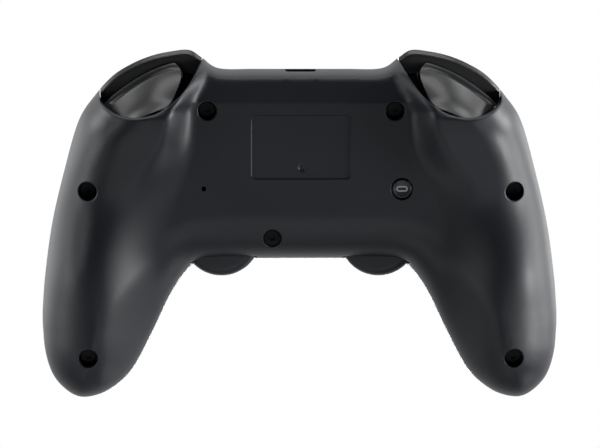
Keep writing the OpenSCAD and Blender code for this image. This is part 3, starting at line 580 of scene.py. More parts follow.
@dataclass
class PlanShell:
    """Moulded shell over a plan: triangles fill the plan and are lifted to an outer and an inner skin.

    Fields:
        loops: outer loop of the plan, then its holes.
        mouths: rounded edges of the openings.
        spacing: distance between points away from any edge.
        points: points within the loops that the skins pass through.
    """

    loops: List[np.ndarray]
    mouths: List[Mouth]
    spacing: float
    points: List[np.ndarray] = field(default_factory=list)

    def add(self, points: np.ndarray, clear: float, edge_clear: float) -> None:
        """Adds points to the plan.

        Args:
            points: candidates, of which those outside the plan are dropped.
            clear: least distance from points added before.
            edge_clear: least distance from the rounded edges.
        """
        points = points[inside(points, self.loops)]
        for mouth in self.mouths:
            points = points[chain_near(points, mouth.chain, mouth.closed)[0] > edge_clear]
        if self.points and clear > 0:
            known = np.vstack(self.points)
            tree = KDTree(len(known))
            for i, p in enumerate(known):
                tree.insert((p[0], p[1], 0), i)
            tree.balance()
            points = points[[tree.find((p[0], p[1], 0))[2] > clear for p in points]]
        self.points.append(points)

    def fill(self, outline: np.ndarray, radius: np.ndarray, angles: Sequence[float]) -> None:
        """Adds rings of points along the outline's round edge, the mouths' rings and a grid.

        Args:
            outline: loop of the case's edge.
            radius: edge radius at each of its points.
            angles: places of the rings on the quarter round, in degrees.
        """
        for mouth in self.mouths:
            rings = mouth.rings()
            self.add(rings[chain_near(rings, mouth.chain, mouth.closed)[0] > 0.01], 0.12, 0.01)
        g = np.roll(outline, -1, 0) - np.roll(outline, 1, 0)
        normal = np.column_stack([-g[:, 1], g[:, 0]]) / np.linalg.norm(g, axis=1)[:, None]
        rims = []
        for a in angles:
            depth = radius * (1 - math.cos(math.radians(a)))
            rim = outline + normal * depth[:, None]
            true_depth = CASE.edge_distance(rim)
            rims.append(rim[np.abs(true_depth - depth) < 0.04 * depth + 0.01])
        self.add(np.vstack(rims), 0.3, 0.25)
        low, high = outline.min(0), outline.max(0)
        rows = np.arange(low[1], high[1], self.spacing * math.sqrt(3) / 2)
        half = math.ceil(high[0] / self.spacing)
        columns = np.arange(-half, half + 1) * self.spacing
        shift = [(n % 2 - 0.5) * self.spacing / 2 for n in range(len(rows))]
        grid = np.array([(x + shift[n], y) for n, y in enumerate(rows) for x in columns])
        self.add(grid, 0.62 * self.spacing, 0.4 * self.spacing)

    def build(self, name: str, outer: Height, inner: Height, upward: bool) -> Piece:
        """Lifts the plan to a closed shell.

        Args:
            name: name of the piece.
            outer: height of the outer skin over points in plan.
            inner: height of the inner skin.
            upward: whether the outer skin looks up.

        Returns:
            The shell.
        """
        corners = np.vstack(self.loops)
        edges, start = [], 0
        for loop in self.loops:
            edges += [(start + i, start + (i + 1) % len(loop)) for i in range(len(loop))]
            start += len(loop)
        everything = np.vstack([corners] + self.points)
        found = delaunay_2d_cdt([Vector(p) for p in everything], edges, [], 0, 1e-4)
        plan = np.array([tuple(v) for v in found[0]])
        faces = np.array([f for f in found[2] if len(f) == 3])
        faces = faces[inside(plan[faces].mean(1), self.loops)]
        used, faces = np.unique(faces, return_inverse=True)
        plan, faces = plan[used], faces.reshape(-1, 3)
        a, b, c = (plan[faces[:, i]] for i in range(3))
        against = (b - a)[:, 0] * (c - a)[:, 1] - (b - a)[:, 1] * (c - a)[:, 0] > 0
        faces = np.where((against == upward)[:, None], faces, faces[:, ::-1])
        count = len(plan)
        links = {(int(f[i]), int(f[i - 2])) for f in faces for i in range(3)}
        walls = [(q, p, p + count, q + count) for p, q in links if (q, p) not in links]
        points = np.vstack([np.column_stack([plan, outer(plan)]), np.column_stack([plan, inner(plan)])])
        bpy.ops.object.select_all(action="DESELECT")
        bpy.ops.mesh.primitive_plane_add(size=MM)
        piece = Bench.named(name)
        piece.data.clear_geometry()
        sheets = faces.tolist() + (faces[:, ::-1] + count).tolist()
        piece.data.from_pydata(CASE.world(points).tolist(), [], sheets + sorted(walls))
        Bench.clean(piece, outward=False, reach=2e-6)
        return piece


class Wire:
    """Value in a shader graph, on which Python's operators add Math nodes."""

    def __init__(self, graph: "Graph", owner: bpy.types.Node, out: Union[int, str]) -> None:
        """Wraps an output of a node, or the node alone where it has none."""
        self.graph = graph
        self.owner = owner
        self.socket = owner.outputs[out] if owner.outputs else None

    def math(self, operation: str, a: "Number", b: "Number") -> "Wire":
        """Adds a Math node."""
        return self.graph.node("ShaderNodeMath", {"operation": operation}, {0: a, 1: b})

    def __add__(self, other: "Number") -> "Wire":
        """Sum."""
        return self.math("ADD", self, other)

    def __sub__(self, other: "Number") -> "Wire":
        """Difference."""
        return self.math("SUBTRACT", self, other)

    def __mul__(self, other: "Number") -> "Wire":
        """Product."""
        return self.math("MULTIPLY", self, other)

    def __lt__(self, other: "Number") -> "Wire":
        """1 where this is less than the other."""
        return self.math("LESS_THAN", self, other)

    def __radd__(self, other: float) -> "Wire":
        """Sum with a number first."""
        return self.math("ADD", other, self)

    def __rsub__(self, other: float) -> "Wire":
        """Difference from a number."""
        return self.math("SUBTRACT", other, self)

    def __rmul__(self, other: float) -> "Wire":
        """Product with a number first."""
        return self.math("MULTIPLY", other, self)


Number = Union[Wire, float]


class Graph:
    """Shader graph of a material or of the world."""

    def __init__(self, holder: Union[bpy.types.Material, bpy.types.World]) -> None:
        """Starts an empty graph in its holder."""
        holder.use_nodes = True
        self.holder = holder
        self.tree = holder.node_tree
        self.tree.nodes.clear()

    @classmethod
    def surface(cls, name: str) -> Tuple["Graph", Wire]:
        """Starts a new material's graph, and returns it with its surface shader."""
        graph = cls(bpy.data.materials.new(name))
        shader = graph.node("ShaderNodeBsdfPrincipled", {}, {})
        graph.node("ShaderNodeOutputMaterial", {}, {"Surface": shader})
        return graph, shader

    def node(self, kind: str, settings: Dict[str, Any], inputs: Dict[Union[int, str], Any],
             out: Any = 0) -> Wire:
        """Adds a node.

        Args:
            kind: the node's type.
            settings: its own settings, set first.
            inputs: values or wires of its sockets.
            out: which output to return.

        Returns:
            The output as a wire.
        """
        node = self.tree.nodes.new(kind)
        for key, value in settings.items():
            setattr(node, key, value)
        wire = Wire(self, node, out)
        self.feed(wire, inputs)
        return wire

    def feed(self, wire: Wire, inputs: Dict[Union[int, str], Any]) -> None:
        """Sets or links sockets of the node that a wire comes from."""
        for key, value in inputs.items():
            if isinstance(value, Wire):
                self.tree.links.new(value.socket, wire.owner.inputs[key])
            else:
                wire.owner.inputs[key].default_value = value

    def place(self) -> Wire:
        """The piece's own coordinates, in metres."""
        return self.node("ShaderNodeTexCoord", {}, {}, "Object")

    def noise(self, scale: float, detail: float = 2.0, stretch: Optional[Sequence[float]] = None) -> Wire:
        """Noise over the piece, with features of about one over the scale in metres.

        Args:
            scale: features per metre.
            detail: number of finer layers.
            stretch: factors by which the pattern is squeezed along each axis.

        Returns:
            Values from 0 to 1.
        """
        at = self.place()
        if stretch is not None:
            at = self.node("ShaderNodeMapping", {}, {"Vector": at, "Scale": tuple(stretch)})
        return self.node("ShaderNodeTexNoise", {}, {"Vector": at, "Scale": scale, "Detail": detail})

    def blend(self, share: Number, a: Any, b: Any) -> Wire:
        """Mixes two colours."""
        settings = {"data_type": "RGBA"}
        return self.node("ShaderNodeMix", settings, {"Factor": share, 6: a, 7: b}, 2)

    def bump(self, height: Wire, depth: float) -> Wire:
        """Turns heights from 0 to 1 into a bump of a depth in millimetres."""
        return self.node("ShaderNodeBump", {}, {"Height": height, "Distance": depth * MM, "Strength": 1.0})


class Pattern(Enum):
    """What a finish shows up close."""

    GRAIN = "moulded grain"
    DOTS = "fine raised dots"
    BRUSHED = "brushed metal"
    LAMINATE = "board with tracks"
    WRAP = "shrink wrap"


Colour = Tuple[float, float, float]


@dataclass(frozen=True)
class Finish:
    """Finish of a piece: its slot in the record, colour, gloss and pattern."""

    slot: str
    colour: Colour
    rough: float
    pattern: Pattern = Pattern.GRAIN
    metal: float = 0.0
    coat: float = 0.0
    grain: float = 2600.0
    depth: float = 0.012
    spread: float = 0.07
    tint: float = 0.25

    def material(self) -> bpy.types.Material:
        """The finish as a material, made once."""
        made = bpy.data.materials.get(self.slot + "_finish")
        return made if made else self.paint()

    def shade(self, factor: float) -> Tuple[float, float, float, float]:
        """The colour made lighter or darker."""
        return tuple(factor * c for c in self.colour) + (1.0,)

    def paint(self) -> bpy.types.Material:
        """Builds the material's graph and returns the material."""
        graph, shader = Graph.surface(self.slot + "_finish")
        broad = graph.noise(38.0, 3.0)
        colour = graph.blend(broad, self.shade(1 - self.tint), self.shade(1 + self.tint))
        rough = self.rough - self.spread / 2 + self.spread * broad
        height = graph.noise(self.grain, 2.0)
        if self.pattern is Pattern.DOTS:
            height = self.dots(graph, 1.15) + 0.25 * height
        elif self.pattern is Pattern.BRUSHED:
            height = graph.noise(900.0, 3.0, (1.0, 14.0, 1.0))
            rough = rough + 0.12 * (height - 0.5)
        elif self.pattern is Pattern.LAMINATE:
            tracks = graph.node("ShaderNodeTexBrick", {}, {
                "Vector": graph.place(), "Scale": 130.0, "Color1": self.shade(1.0), "Color2": self.shade(1.5),
                "Mortar": self.shade(2.4), "Mortar Size": 0.012})
            colour = graph.blend(broad, tracks, self.shade(1 + self.tint))
        elif self.pattern is Pattern.WRAP:
            height = graph.noise(260.0, 4.0, (1.0, 3.0, 1.0))
        graph.feed(shader, {"Base Color": colour, "Roughness": rough, "Metallic": self.metal,
                            "Coat Weight": self.coat, "Coat Roughness": 0.12,
                            "Normal": graph.bump(height, self.depth)})
        return graph.holder

    @staticmethod
    def dots(graph: Graph, pitch: float) -> Wire:
        """Raised dots on a square lattice, with a pitch in millimetres."""
        scaled = graph.node("ShaderNodeVectorMath", {"operation": "SCALE"},
                            {0: graph.place(), "Scale": 1 / (pitch * MM)})
        cell = graph.node("ShaderNodeVectorMath", {"operation": "FRACTION"}, {0: scaled})
        flat = graph.node("ShaderNodeVectorMath", {"operation": "MULTIPLY"}, {0: cell, 1: (1, 1, 0)})
        far = graph.node("ShaderNodeVectorMath", {"operation": "DISTANCE"}, {0: flat, 1: (0.5, 0.5, 0)}, 1)
        return far < 0.24

    def dress(self, piece: Piece) -> Piece:
        """Gives a new piece this finish."""
        piece.data.materials.clear()
        piece.data.materials.append(self.material())
        return piece

    def dress_node(self, node: str) -> None:
        """Gives a node of the frame this finish."""
        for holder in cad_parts[node].material_slots:
            holder.material = self.material()


SHELL = Finish("shell", (0.016, 0.0195, 0.0255), 0.43, grain=2400.0, depth=0.008, spread=0.06)
TRIGGER = Finish("trigger_plastic", (0.03, 0.031, 0.033), 0.33, depth=0.004, spread=0.05)
RUBBER = Finish("stick_rubber", (0.016, 0.016, 0.017), 0.72, grain=3200.0, depth=0.03)
BUTTON = Finish("button_plastic", (0.03, 0.031, 0.033), 0.3, depth=0.005)
PAD = Finish("pad_plastic", (0.02, 0.0205, 0.022), 0.5, Pattern.DOTS, depth=0.03)
BLACK_STEEL = Finish("black_steel", (0.01, 0.01, 0.0105), 0.42, metal=0.6, depth=0.01)
STEEL = Finish("steel", (0.55, 0.55, 0.56), 0.28, Pattern.BRUSHED, metal=1.0, depth=0.006)
WEIGHT = Finish("weight_metal", (0.3, 0.28, 0.25), 0.4, Pattern.BRUSHED, metal=1.0, depth=0.02)
BOARD = Finish("board", (0.006, 0.035, 0.016), 0.45, Pattern.LAMINATE, coat=0.3, depth=0.01)
MAT = Finish("mat_rubber", (0.1, 0.105, 0.11), 0.6, depth=0.02)
WRAP = Finish("cell_wrap", (0.035, 0.06, 0.12), 0.35, Pattern.WRAP, depth=0.04)
INNER = Finish("inner_plastic", (0.012, 0.012, 0.013), 0.5, depth=0.02)
PRINT = Finish("button_plastic_print", (0.42, 0.44, 0.47), 0.5, depth=0.004, tint=0.08)


def report(piece: Piece, body: str, nodes: Sequence[str]) -> Piece:
    """Puts a finished piece on its body in place of the nodes it stands for, and logs it."""
    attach(piece, body)
    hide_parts(*nodes)
    LOG.info("%s on %s, %d faces", piece.name, body, len(piece.data.polygons))
    return piece


@dataclass(frozen=True)
class Wells:
    """Places and sizes of the two stick wells, shared by both housings."""

    x: float = 24.4
    y: float = 49.5
    radius: float = 12.2
    wall: float = 1.6
    low_z: float = 18.0
    fillet: float = 3.0
    gap: float = 0.4

    def centre(self, side: Side) -> Tuple[float, float]:
        """Plan place of a well."""
        return side.value * self.x, self.y

    def near(self, points: np.ndarray) -> np.ndarray:
        """Distance of points in plan from the nearer well's middle."""
        return np.hypot(np.abs(points[:, 0]) - self.x, points[:, 1] - self.y)


WELLS = Wells()


@dataclass
class RearHousing:
    """Rear housing: two grips, flat panel with a slanted band, trigger bays, screw pits and a bare plate."""

    step: float = 0.9
    spacing: float = 1.35
    pit_r: float = 2.9
    pit_mouth: float = 0.35
    tube_wall: float = 1.5
    shank_r: float = 1.3
    tube_fall: float = 6.6
    shelf: float = 3.0
    top_screw: Tuple[float, float] = (29.0, 90.0)
    side_screw: Tuple[float, float] = (65.9, 65.2)
    low_screw: Tuple[float, float] = (8.8, 50.1)
    grip_screw: Tuple[float, float] = (65.7, 14.0)
    plate: Tuple[float, float] = (31.0, 20.0)
    plate_y: float = 78.7
    plate_r: float = 1.6
    plate_t: float = 0.5
    gate: Tuple[float, float] = (-0.3, 72.3)
    gate_r: float = 1.4
    gate_t: float = 0.4
    pinhole: Tuple[float, float] = (30.1, 65.8)
    pinhole_r: float = 0.75
    button_hole: Tuple[float, float] = (-31.2, 65.8)
    button_hole_r: float = 3.4
    slot_w: float = 9.5
    slot_z: float = 18.6
    slot_r: float = 1.4
    bay: Tuple[Tuple[float, float], ...] = (
        (62.2, 97.5), (62.2, 95.0), (62.1, 92.7), (61.4, 91.8), (58.5, 89.9), (55.1, 88.8),
        (50.4, 88.4), (45.1, 89.6), (41.1, 91.9), (35.8, 96.7), (30.7, 104.1), (28.6, 107.5))
    bay_mouth: float = 0.7
    bay_flat: float = 0.85
    rim_mouth: float = 2.1
    rim_x: float = 50.0
    rim_blend: float = 8.0
    rim_flange: float = 1.2
    flange_blend: Tuple[float, float] = (0.4, 2.6)
    button_mouth: float = 0.25
    pinhole_mouth: float = 0.12
    plate_soft: Tuple[float, float] = (-0.02, 0.36)
    plate_rings: Tuple[float, ...] = (-0.55, -0.34, -0.16, 0.02, 0.3)
    gate_nub: float = 0.25
    gate_rings: Tuple[float, ...] = (0.001, 0.3, 0.6, 0.9, 1.15, 1.4, 1.7)
    band_half: float = 33.0
    band_rows: Tuple[float, ...] = (-0.5, -0.2, 0, 0.2, 0.5)
    edge_angles: Tuple[float, ...] = (6, 13, 21, 29, 38, 47, 57, 68, 80)
    slot_d: float = 4.0

    def screws(self) -> List[Tuple[float, float]]:
        """Plan places of the seven screws."""
        pairs = [self.top_screw, self.side_screw, self.grip_screw]
        return [self.low_screw] + [(s.value * x, y) for x, y in pairs for s in Side]

    def bay_edge(self, side: Side) -> np.ndarray:
        """Curve that takes a trigger bay out of the plan."""
        return spline(self.bay, 0.7) * [side.value, 1]

    def bay_rounding(self, chain: np.ndarray) -> np.ndarray:
        """Rounding along a bay: a thin edge round the tip, a broad rim on the inner side."""
        share = ease(self.rim_x - np.abs(chain[:, 0]), 0, self.rim_blend)
        return self.bay_mouth + (self.rim_mouth - self.bay_mouth) * share

    def well_notch(self, side: Side) -> np.ndarray:
        """Curve that takes a well's notch out of the lower edge, level with the well's floor."""
        rows = CASE.sections()
        low = rows[:, :2]
        g = np.gradient(low, axis=0)
        normal = np.column_stack([-g[:, 1], g[:, 0]]) / np.linalg.norm(g, axis=1)[:, None]
        part = CASE.parting(low[:, 1])
        depth = part - CASE.underside(low[:, 0], low[:, 1] + CASE.back_r)
        share = np.clip((part - WELLS.low_z + WELLS.gap) / depth, 0, 1)
        line = low + normal * (CASE.back_r * (1 - np.sqrt(1 - share**2)))[:, None]
        line = line[WELLS.near(line) < WELLS.radius + WELLS.gap]
        line = resample(line[line[:, 1] < WELLS.y], 0.8, False)
        ends = [line[0] + [0.7, -2.2]], [line[-1] + [-1.6, -1.9]]
        return np.vstack([ends[0], line, ends[1]]) * [side.value, 1]

    def slot_height(self, x: np.ndarray) -> np.ndarray:
        """Height of the charging slot's floor, with round corners."""
        over = np.clip((np.abs(x) - self.slot_w / 2 + self.slot_r) / self.slot_r, 0, 1)
        return self.slot_z + self.slot_r * (1 - np.sqrt(1 - over**2))

    def slot_notch(self) -> np.ndarray:
        """Curve that opens the charging slot in the top edge."""
        x = np.linspace(-self.slot_w / 2, self.slot_w / 2, 25)
        share = (CASE.part_z - self.slot_height(x)) / (CASE.part_z - CASE.panel_z - CASE.band_rise)
        y = CASE.top_y - CASE.sharp_r * (1 - np.sqrt(1 - share**2))
        middle = np.column_stack([x, y])
        return np.vstack([[[x[0], CASE.top_y + 1]], middle, [[x[-1], CASE.top_y + 1]]])

    def plan(self) -> PlanShell:
        """Plan of the housing with its openings and the lines that its skin needs."""
        loop, mouths = CASE.outline(self.step), []
        for side in Side:
            loop, edge = splice(loop, self.bay_edge(side))
            mouths.append(Mouth(edge, False, self.bay_rounding(edge), self.bay_flat))
            loop, edge = splice(loop, self.well_notch(side))
        loop, edge = splice(loop, self.slot_notch())
        holes = [ring(p, self.pit_r) for p in self.screws()]
        mouths += [Mouth(hole, True, self.pit_mouth) for hole in holes]
        holes += [ring(self.button_hole, self.button_hole_r, 48), ring(self.pinhole, self.pinhole_r, 20)]
        mouths += [Mouth(holes[-2], True, self.button_mouth), Mouth(holes[-1], True, self.pinhole_mouth)]
        shell = PlanShell([loop] + holes, mouths, self.spacing)
        for grow in self.plate_rings:
            w, h = (size + 2 * grow for size in self.plate)
            shell.add(rounded_box((0, self.plate_y), w, h, self.plate_r + grow, 0.3), 0, 0.2)
        for r in self.gate_rings:
            shell.add(ring(self.gate, r, 16), 0, 0.2)
        x = np.arange(-self.band_half, self.band_half + 0.1, self.step)
        for up in self.band_rows:
            shell.add(np.column_stack([x, np.full(len(x), CASE.top_y - CASE.band_d + up)]), 0, 0.3)
        y = np.arange(CASE.top_y - 3.4, CASE.top_y - 0.3, 0.4)
        for x in (self.slot_w / 2, self.slot_w / 2 + 0.05):
            for side in Side:
                shell.add(np.column_stack([np.full(len(y), side.value * x), y]), 0, 0)
        outline = CASE.outline(self.step)
        radius = CASE.back_radius(*outline.T)
        shell.fill(outline, radius, self.edge_angles)
        return shell

    def plate_edge(self, p: np.ndarray) -> np.ndarray:
        """Signed distance from the recessed plate's edge, negative within."""
        q = np.abs(p - [0, self.plate_y]) - (np.array(self.plate) / 2 - self.plate_r)
        return np.linalg.norm(np.maximum(q, 0), axis=1) + np.minimum(q.max(1), 0) - self.plate_r

    def outer(self, p: np.ndarray, mouths: Sequence[Mouth]) -> np.ndarray:
        """Height of the outer skin, with its recesses and rounded openings."""
        z = CASE.back(p, CASE.edge_distance(p), 0)
        z = z + self.plate_t * ease(-self.plate_edge(p), *self.plate_soft)
        r = np.linalg.norm(p - self.gate, axis=1)
        z = z + self.gate_t * (1 - ease(r, 0.5 * self.gate_r, self.gate_r))
        z = z - self.gate_nub * (1 - ease(r, 0.2, 0.6))
        for mouth in mouths:
            z = z + mouth.drop(p)
        return self.under_wells(p, z)

    def inner(self, p: np.ndarray, mouths: Sequence[Mouth]) -> np.ndarray:
        """Height of the inner skin, with a low flange along the bays and the charging slot's groove."""
        z = CASE.back(p, CASE.edge_distance(p), CASE.wall)
        for mouth in mouths[:2]:
            far = chain_near(p, mouth.chain, False)[0]
            z = z + self.rim_flange * (1 - ease(far, *self.flange_blend))
        z = np.minimum(z, CASE.parting(p[:, 1]) - CASE.seam / 2)
        groove = (np.abs(p[:, 0]) < self.slot_w / 2 + 0.02) & (p[:, 1] > CASE.top_y - self.slot_d)
        z = np.where(groove, np.minimum(z, self.slot_height(p[:, 0])), z)
        return np.maximum(self.under_wells(p, z), self.outer(p, mouths))

    def under_wells(self, p: np.ndarray, z: np.ndarray) -> np.ndarray:
        """Keeps a skin below the stick wells."""
        low = WELLS.low_z - WELLS.gap
        return np.where(WELLS.near(p) < WELLS.radius + WELLS.gap, np.minimum(z, low), z)

    def tube(self, place: Tuple[float, float], number: int) -> Piece:
        """Tube of a screw pit, with the shelf that the screw's head bears on."""
        p = np.array([place])
        root = CASE.back(p, CASE.edge_distance(p), 0)[0] + CASE.wall / 2
        top = CASE.parting(p[:, 1])[0] - self.tube_fall
        r = self.pit_r + 0.02
        out = self.pit_r + self.tube_wall
        run = [(r, root), (r, top - self.shelf), (self.shank_r, top - self.shelf), (self.shank_r, top),
               (out, top), (out, root), (r, root)]
        tube = Bench.turned(f"tube_{number}", run, place, 40)
        points = Bench.coords(tube)
        foot = np.abs(points[:, 2] / MM - root - CASE.lift) < 0.01
        plan = points[foot, :2] / MM + [0, CASE.origin_y]
        skin = CASE.back(plan, CASE.edge_distance(plan), 0) + CASE.wall / 2
        points[foot, 2] = (skin + CASE.lift) * MM
        Bench.move(tube, points)
        return tube

    def build(self) -> Piece:
        """Builds and dresses the housing."""
        plan = self.plan()
        mouths = plan.mouths
        shell = plan.build("rear_shell", lambda p: self.outer(p, mouths),
                           lambda p: self.inner(p, mouths), False)
        tubes = [self.tube(p, i) for i, p in enumerate(self.screws())]
        piece = Bench.join("rear_shell", [shell] + tubes)
        return report(SHELL.dress(Bench.smooth(piece, 38)), "case", ["rear_housing"])


@dataclass
class FrontHousing:
    """Front housing: the face with its openings, the bumper pockets and the two stick wells."""

    step: float = 0.9
    spacing: float = 1.6
    mouth: float = 0.4
    bumper_x: Tuple[float, float] = (29.66, 62.4)
    pocket_d: float = 7.9
    edge_angles: Tuple[float, ...] = (7, 15, 24, 33, 43, 54, 66, 78)

    def pocket(self, side: Side) -> np.ndarray:
        """Curve that takes a bumper's pocket out of the plan."""
        x = np.linspace(*self.bumper_x, 40)
        back = np.column_stack([x, CASE.upper_y(x) - self.pocket_d])
        ends = [[x[0], CASE.top_y + 12]], [[x[-1], CASE.top_y + 12]]
        return np.vstack([ends[0], back, ends[1]]) * [side.value, 1]

    def well_cut(self, side: Side) -> np.ndarray:
        """Arc inside a well's wall, which takes the well out of the plan."""
        a = np.radians(np.linspace(-100, 280, 90))
        r = WELLS.radius - WELLS.wall / 2
        return np.array(WELLS.centre(side)) + r * np.column_stack([np.cos(a), np.sin(a)])

    def openings(self) -> List[np.ndarray]:
        """Loops of the buttons', keys' and pad's openings."""
        buttons, keys, small = ActionButtons(), DirectionKeys(), SmallButtons()
        loops = [ring(p, buttons.radius + buttons.gap) for p in buttons.places().values()]
        wide = keys.width + 2 * keys.gap
        loops += [rounded_box(p, wide, wide, keys.corner + keys.gap, 0.8) for p in keys.places().values()]
        w, l = (size + 2 * small.gap for size in small.option)
        loops += [rounded_box((s.value * small.option_at[0], small.option_at[1]), w, l, w / 2 - 0.01, 0.5)
                  for s in Side]
        pad = TouchPad()
        loops.append(ring((0, small.home_y), small.home_r + small.gap))
        width, depth = (size + 2 * pad.gap for size in (pad.width, pad.depth))
        loops.append(rounded_box((0, pad.y), width, depth, pad.corner + pad.gap, 0.9))
        return loops

    def plan(self) -> PlanShell:
        """Plan of the housing with its openings."""
        loop, mouths = CASE.outline(self.step), []
        for side in Side:
            loop, edge = splice(loop, self.pocket(side))
            mouths.append(Mouth(edge, False, self.mouth))
            loop, edge = splice(loop, self.well_cut(side))
        holes = self.openings()
        mouths += [Mouth(hole, True, self.mouth) for hole in holes]
        shell = PlanShell([loop] + holes, mouths, self.spacing)
        outline = CASE.outline(self.step)
        shell.fill(outline, np.full(len(outline), CASE.face_r), self.edge_angles)
        return shell

    def cup(self, side: Side) -> Piece:
        """Stick well: a cup with a rounded floor and rim."""
        r, f, top = WELLS.radius, WELLS.fillet, CASE.face_z + 0.1
        floor = WELLS.low_z + WELLS.wall
        hollow = r - WELLS.wall
        lip = WELLS.wall / 2
        run = [(0, WELLS.low_z)] + arc(r - f, WELLS.low_z + f, f, -90, 0, 10)
        run += arc(r - lip, top - lip, lip, 0, 180, 13)
        run += [(hollow, floor + 1), (hollow - 0.3, floor + 0.3), (hollow - 1, floor), (0, floor)]
        return Bench.turned(f"{side.word}_well", run, WELLS.centre(side), 96)

    def outer(self, p: np.ndarray, mouths: Sequence[Mouth]) -> np.ndarray:
        """Height of the outer skin, with its rounded openings."""
        return CASE.face(p, CASE.edge_distance(p), 0) - sum(m.drop(p) for m in mouths)

    def inner(self, p: np.ndarray, mouths: Sequence[Mouth]) -> np.ndarray:
        """Height of the inner skin."""
        return np.minimum(CASE.face(p, CASE.edge_distance(p), CASE.wall), self.outer(p, mouths))

    def build(self) -> Piece:
        """Builds and dresses the housing."""
        plan = self.plan()
        mouths = plan.mouths
        shell = plan.build("front_shell", lambda p: self.outer(p, mouths),
                           lambda p: self.inner(p, mouths), True)
        piece = Bench.join("front_shell", [shell] + [self.cup(side) for side in Side])
        return report(SHELL.dress(Bench.smooth(piece, 38)), "case", ["front_housing"])


@dataclass
class Trigger:
    """Trigger: a curved blade with a lip along its top edge, on two arms and a hub."""

    side: Side
    at: Tuple[float, float] = (49.5, 94.0)
    yaw: float = -25.0
    top_z: float = 21.4
    tip_z: float = 5.4
    width: float = 24.0
    tip_width: float = 11.0
    thick: float = 1.9
    top_y: float = 3.7
    fall: float = 9.6
    lip: float = 1.2
    hook: float = 0.9
    skew: float = 1.5
    inner_crown: float = 2.4
    outer_crown: float = 0.6
    bulge: float = 1.6
    lean: float = 3.8
    tip: Tuple[float, float] = (1.1, 1.0)
    hinge: Tuple[float, float] = (-6.8, 18.2)
    hub_r: float = 2.1
    bore_r: float = 1.05
    hub_x: Tuple[float, float] = (2.7, 5.0)

    def blade_points(self, u: np.ndarray, t: np.ndarray) -> np.ndarray:
        """Outer face of the blade in the trigger's own frame.

        Args:
            u: place across the blade, from -1 to 1.
            t: place down the blade, from 0 to 1.

        Returns:
            Points.
        """
        down = t**1.25
        outer = (self.width + (self.tip_width - self.width) * down**0.94) / 2
        inner = -outer - self.lean * np.sin(math.pi * np.sqrt(down))
        x = inner + (outer - inner) * (u + 1) / 2
        y = self.top_y - self.fall * down + self.hook * ease(t, 0.75, 1) - self.skew * u * (1 - ease(t, 0, 1))
        y = y + self.lip * (1 - u * u) * (1 - ease(t, 0.05, 0.1))
        crown = np.where(u < 0, self.inner_crown, self.outer_crown) * np.abs(u) ** 2.6
        y = y - crown * (0.2 + 0.8 * ease(t, 0.02, 0.2)) * (1 - 0.5 * t)
        tip = (1 - u * u) * ease(t, 0.6, 1)
        y = y + self.bulge * (1 - u * u) * ease(t, 0.05, 0.3) * (1 - 0.4 * t) - self.tip[0] * tip
        return np.column_stack([x, y, self.top_z + (self.tip_z - self.top_z) * t - self.tip[1] * tip])

    def placed(self, points: np.ndarray) -> np.ndarray:
        """Moves points from the right trigger's own frame to the shared one."""
        a = math.radians(self.yaw)
        x, y, z = np.asarray(points, float).T
        turned = np.column_stack([x * math.cos(a) - y * math.sin(a), x * math.sin(a) + y * math.cos(a), z])
        return CASE.world(turned + [self.at[0], self.at[1], 0])

    def blade(self) -> Piece:
        """Blade with its thickness and rounded edges."""
        bpy.ops.object.select_all(action="DESELECT")
        bpy.ops.mesh.primitive_grid_add(x_subdivisions=44, y_subdivisions=34, size=2)
        piece = Bench.named("blade")
        Bench.put_to_origin(piece)
        u, v = Bench.coords(piece)[:, :2].T
        Bench.move(piece, self.placed(self.blade_points(u, ((1 - v) / 2) ** 1.5)))
        Bench.edit(piece)
        bpy.ops.mesh.flip_normals()
        Bench.done()
        Bench.modify(piece, "SOLIDIFY", thickness=self.thick * MM, offset=-1.0, use_even_offset=True)
        Bench.clean(piece)
        Bench.bevel(piece, 0.35, 3, 50)
        return piece

    def arms(self) -> List[Piece]:
        """Two arms from the blade to the hub, and the two halves of the hub with their bore."""
        y, z = self.hinge
        pieces = []
        for sign in (-1, 1):
            x0, x1 = sorted(sign * x for x in self.hub_x)
            corners = [(y + 1.4, z - 3), (0.2, z - 3), (2.0, z + self.hub_r), (y + 1.4, z + self.hub_r)]
            arm = Bench.block(f"arm_{sign}", (0, 0, 0), (1, 1, 1))
            unit = np.round(Bench.coords(arm) / MM - CASE.world([(0, 0, 0)])[0] / MM).astype(int)
            order = {(0, 0): 0, (1, 0): 1, (1, 1): 2, (0, 1): 3}
            Bench.move(arm, self.placed([((x0, x1)[a],) + corners[order[(b, c)]] for a, b, c in unit]))
            Bench.clean(arm)
            Bench.bevel(arm, 0.25, 2)
            barrel = Bench.turned(f"hub_{sign}", sleeve(self.bore_r, self.hub_r, x0, x1), (0, 0), 32)
            upright = Bench.coords(barrel) / MM - CASE.world([(0, 0, 0)])[0] / MM
            lying = np.column_stack([upright[:, 2], upright[:, 0] + y, upright[:, 1] + z])
            Bench.move(barrel, self.placed(lying))
            Bench.clean(barrel)
            pieces += [arm, barrel]
        return pieces

    def build(self) -> Piece:
        """Builds and dresses the trigger."""
        node = f"{self.side.word}_trigger"
        piece = Bench.join(f"{node}_blade", [self.blade()] + self.arms())
        if self.side is Side.LEFT:
            Bench.mirror(piece)
        return report(TRIGGER.dress(Bench.smooth(piece, 42)), node, [node])


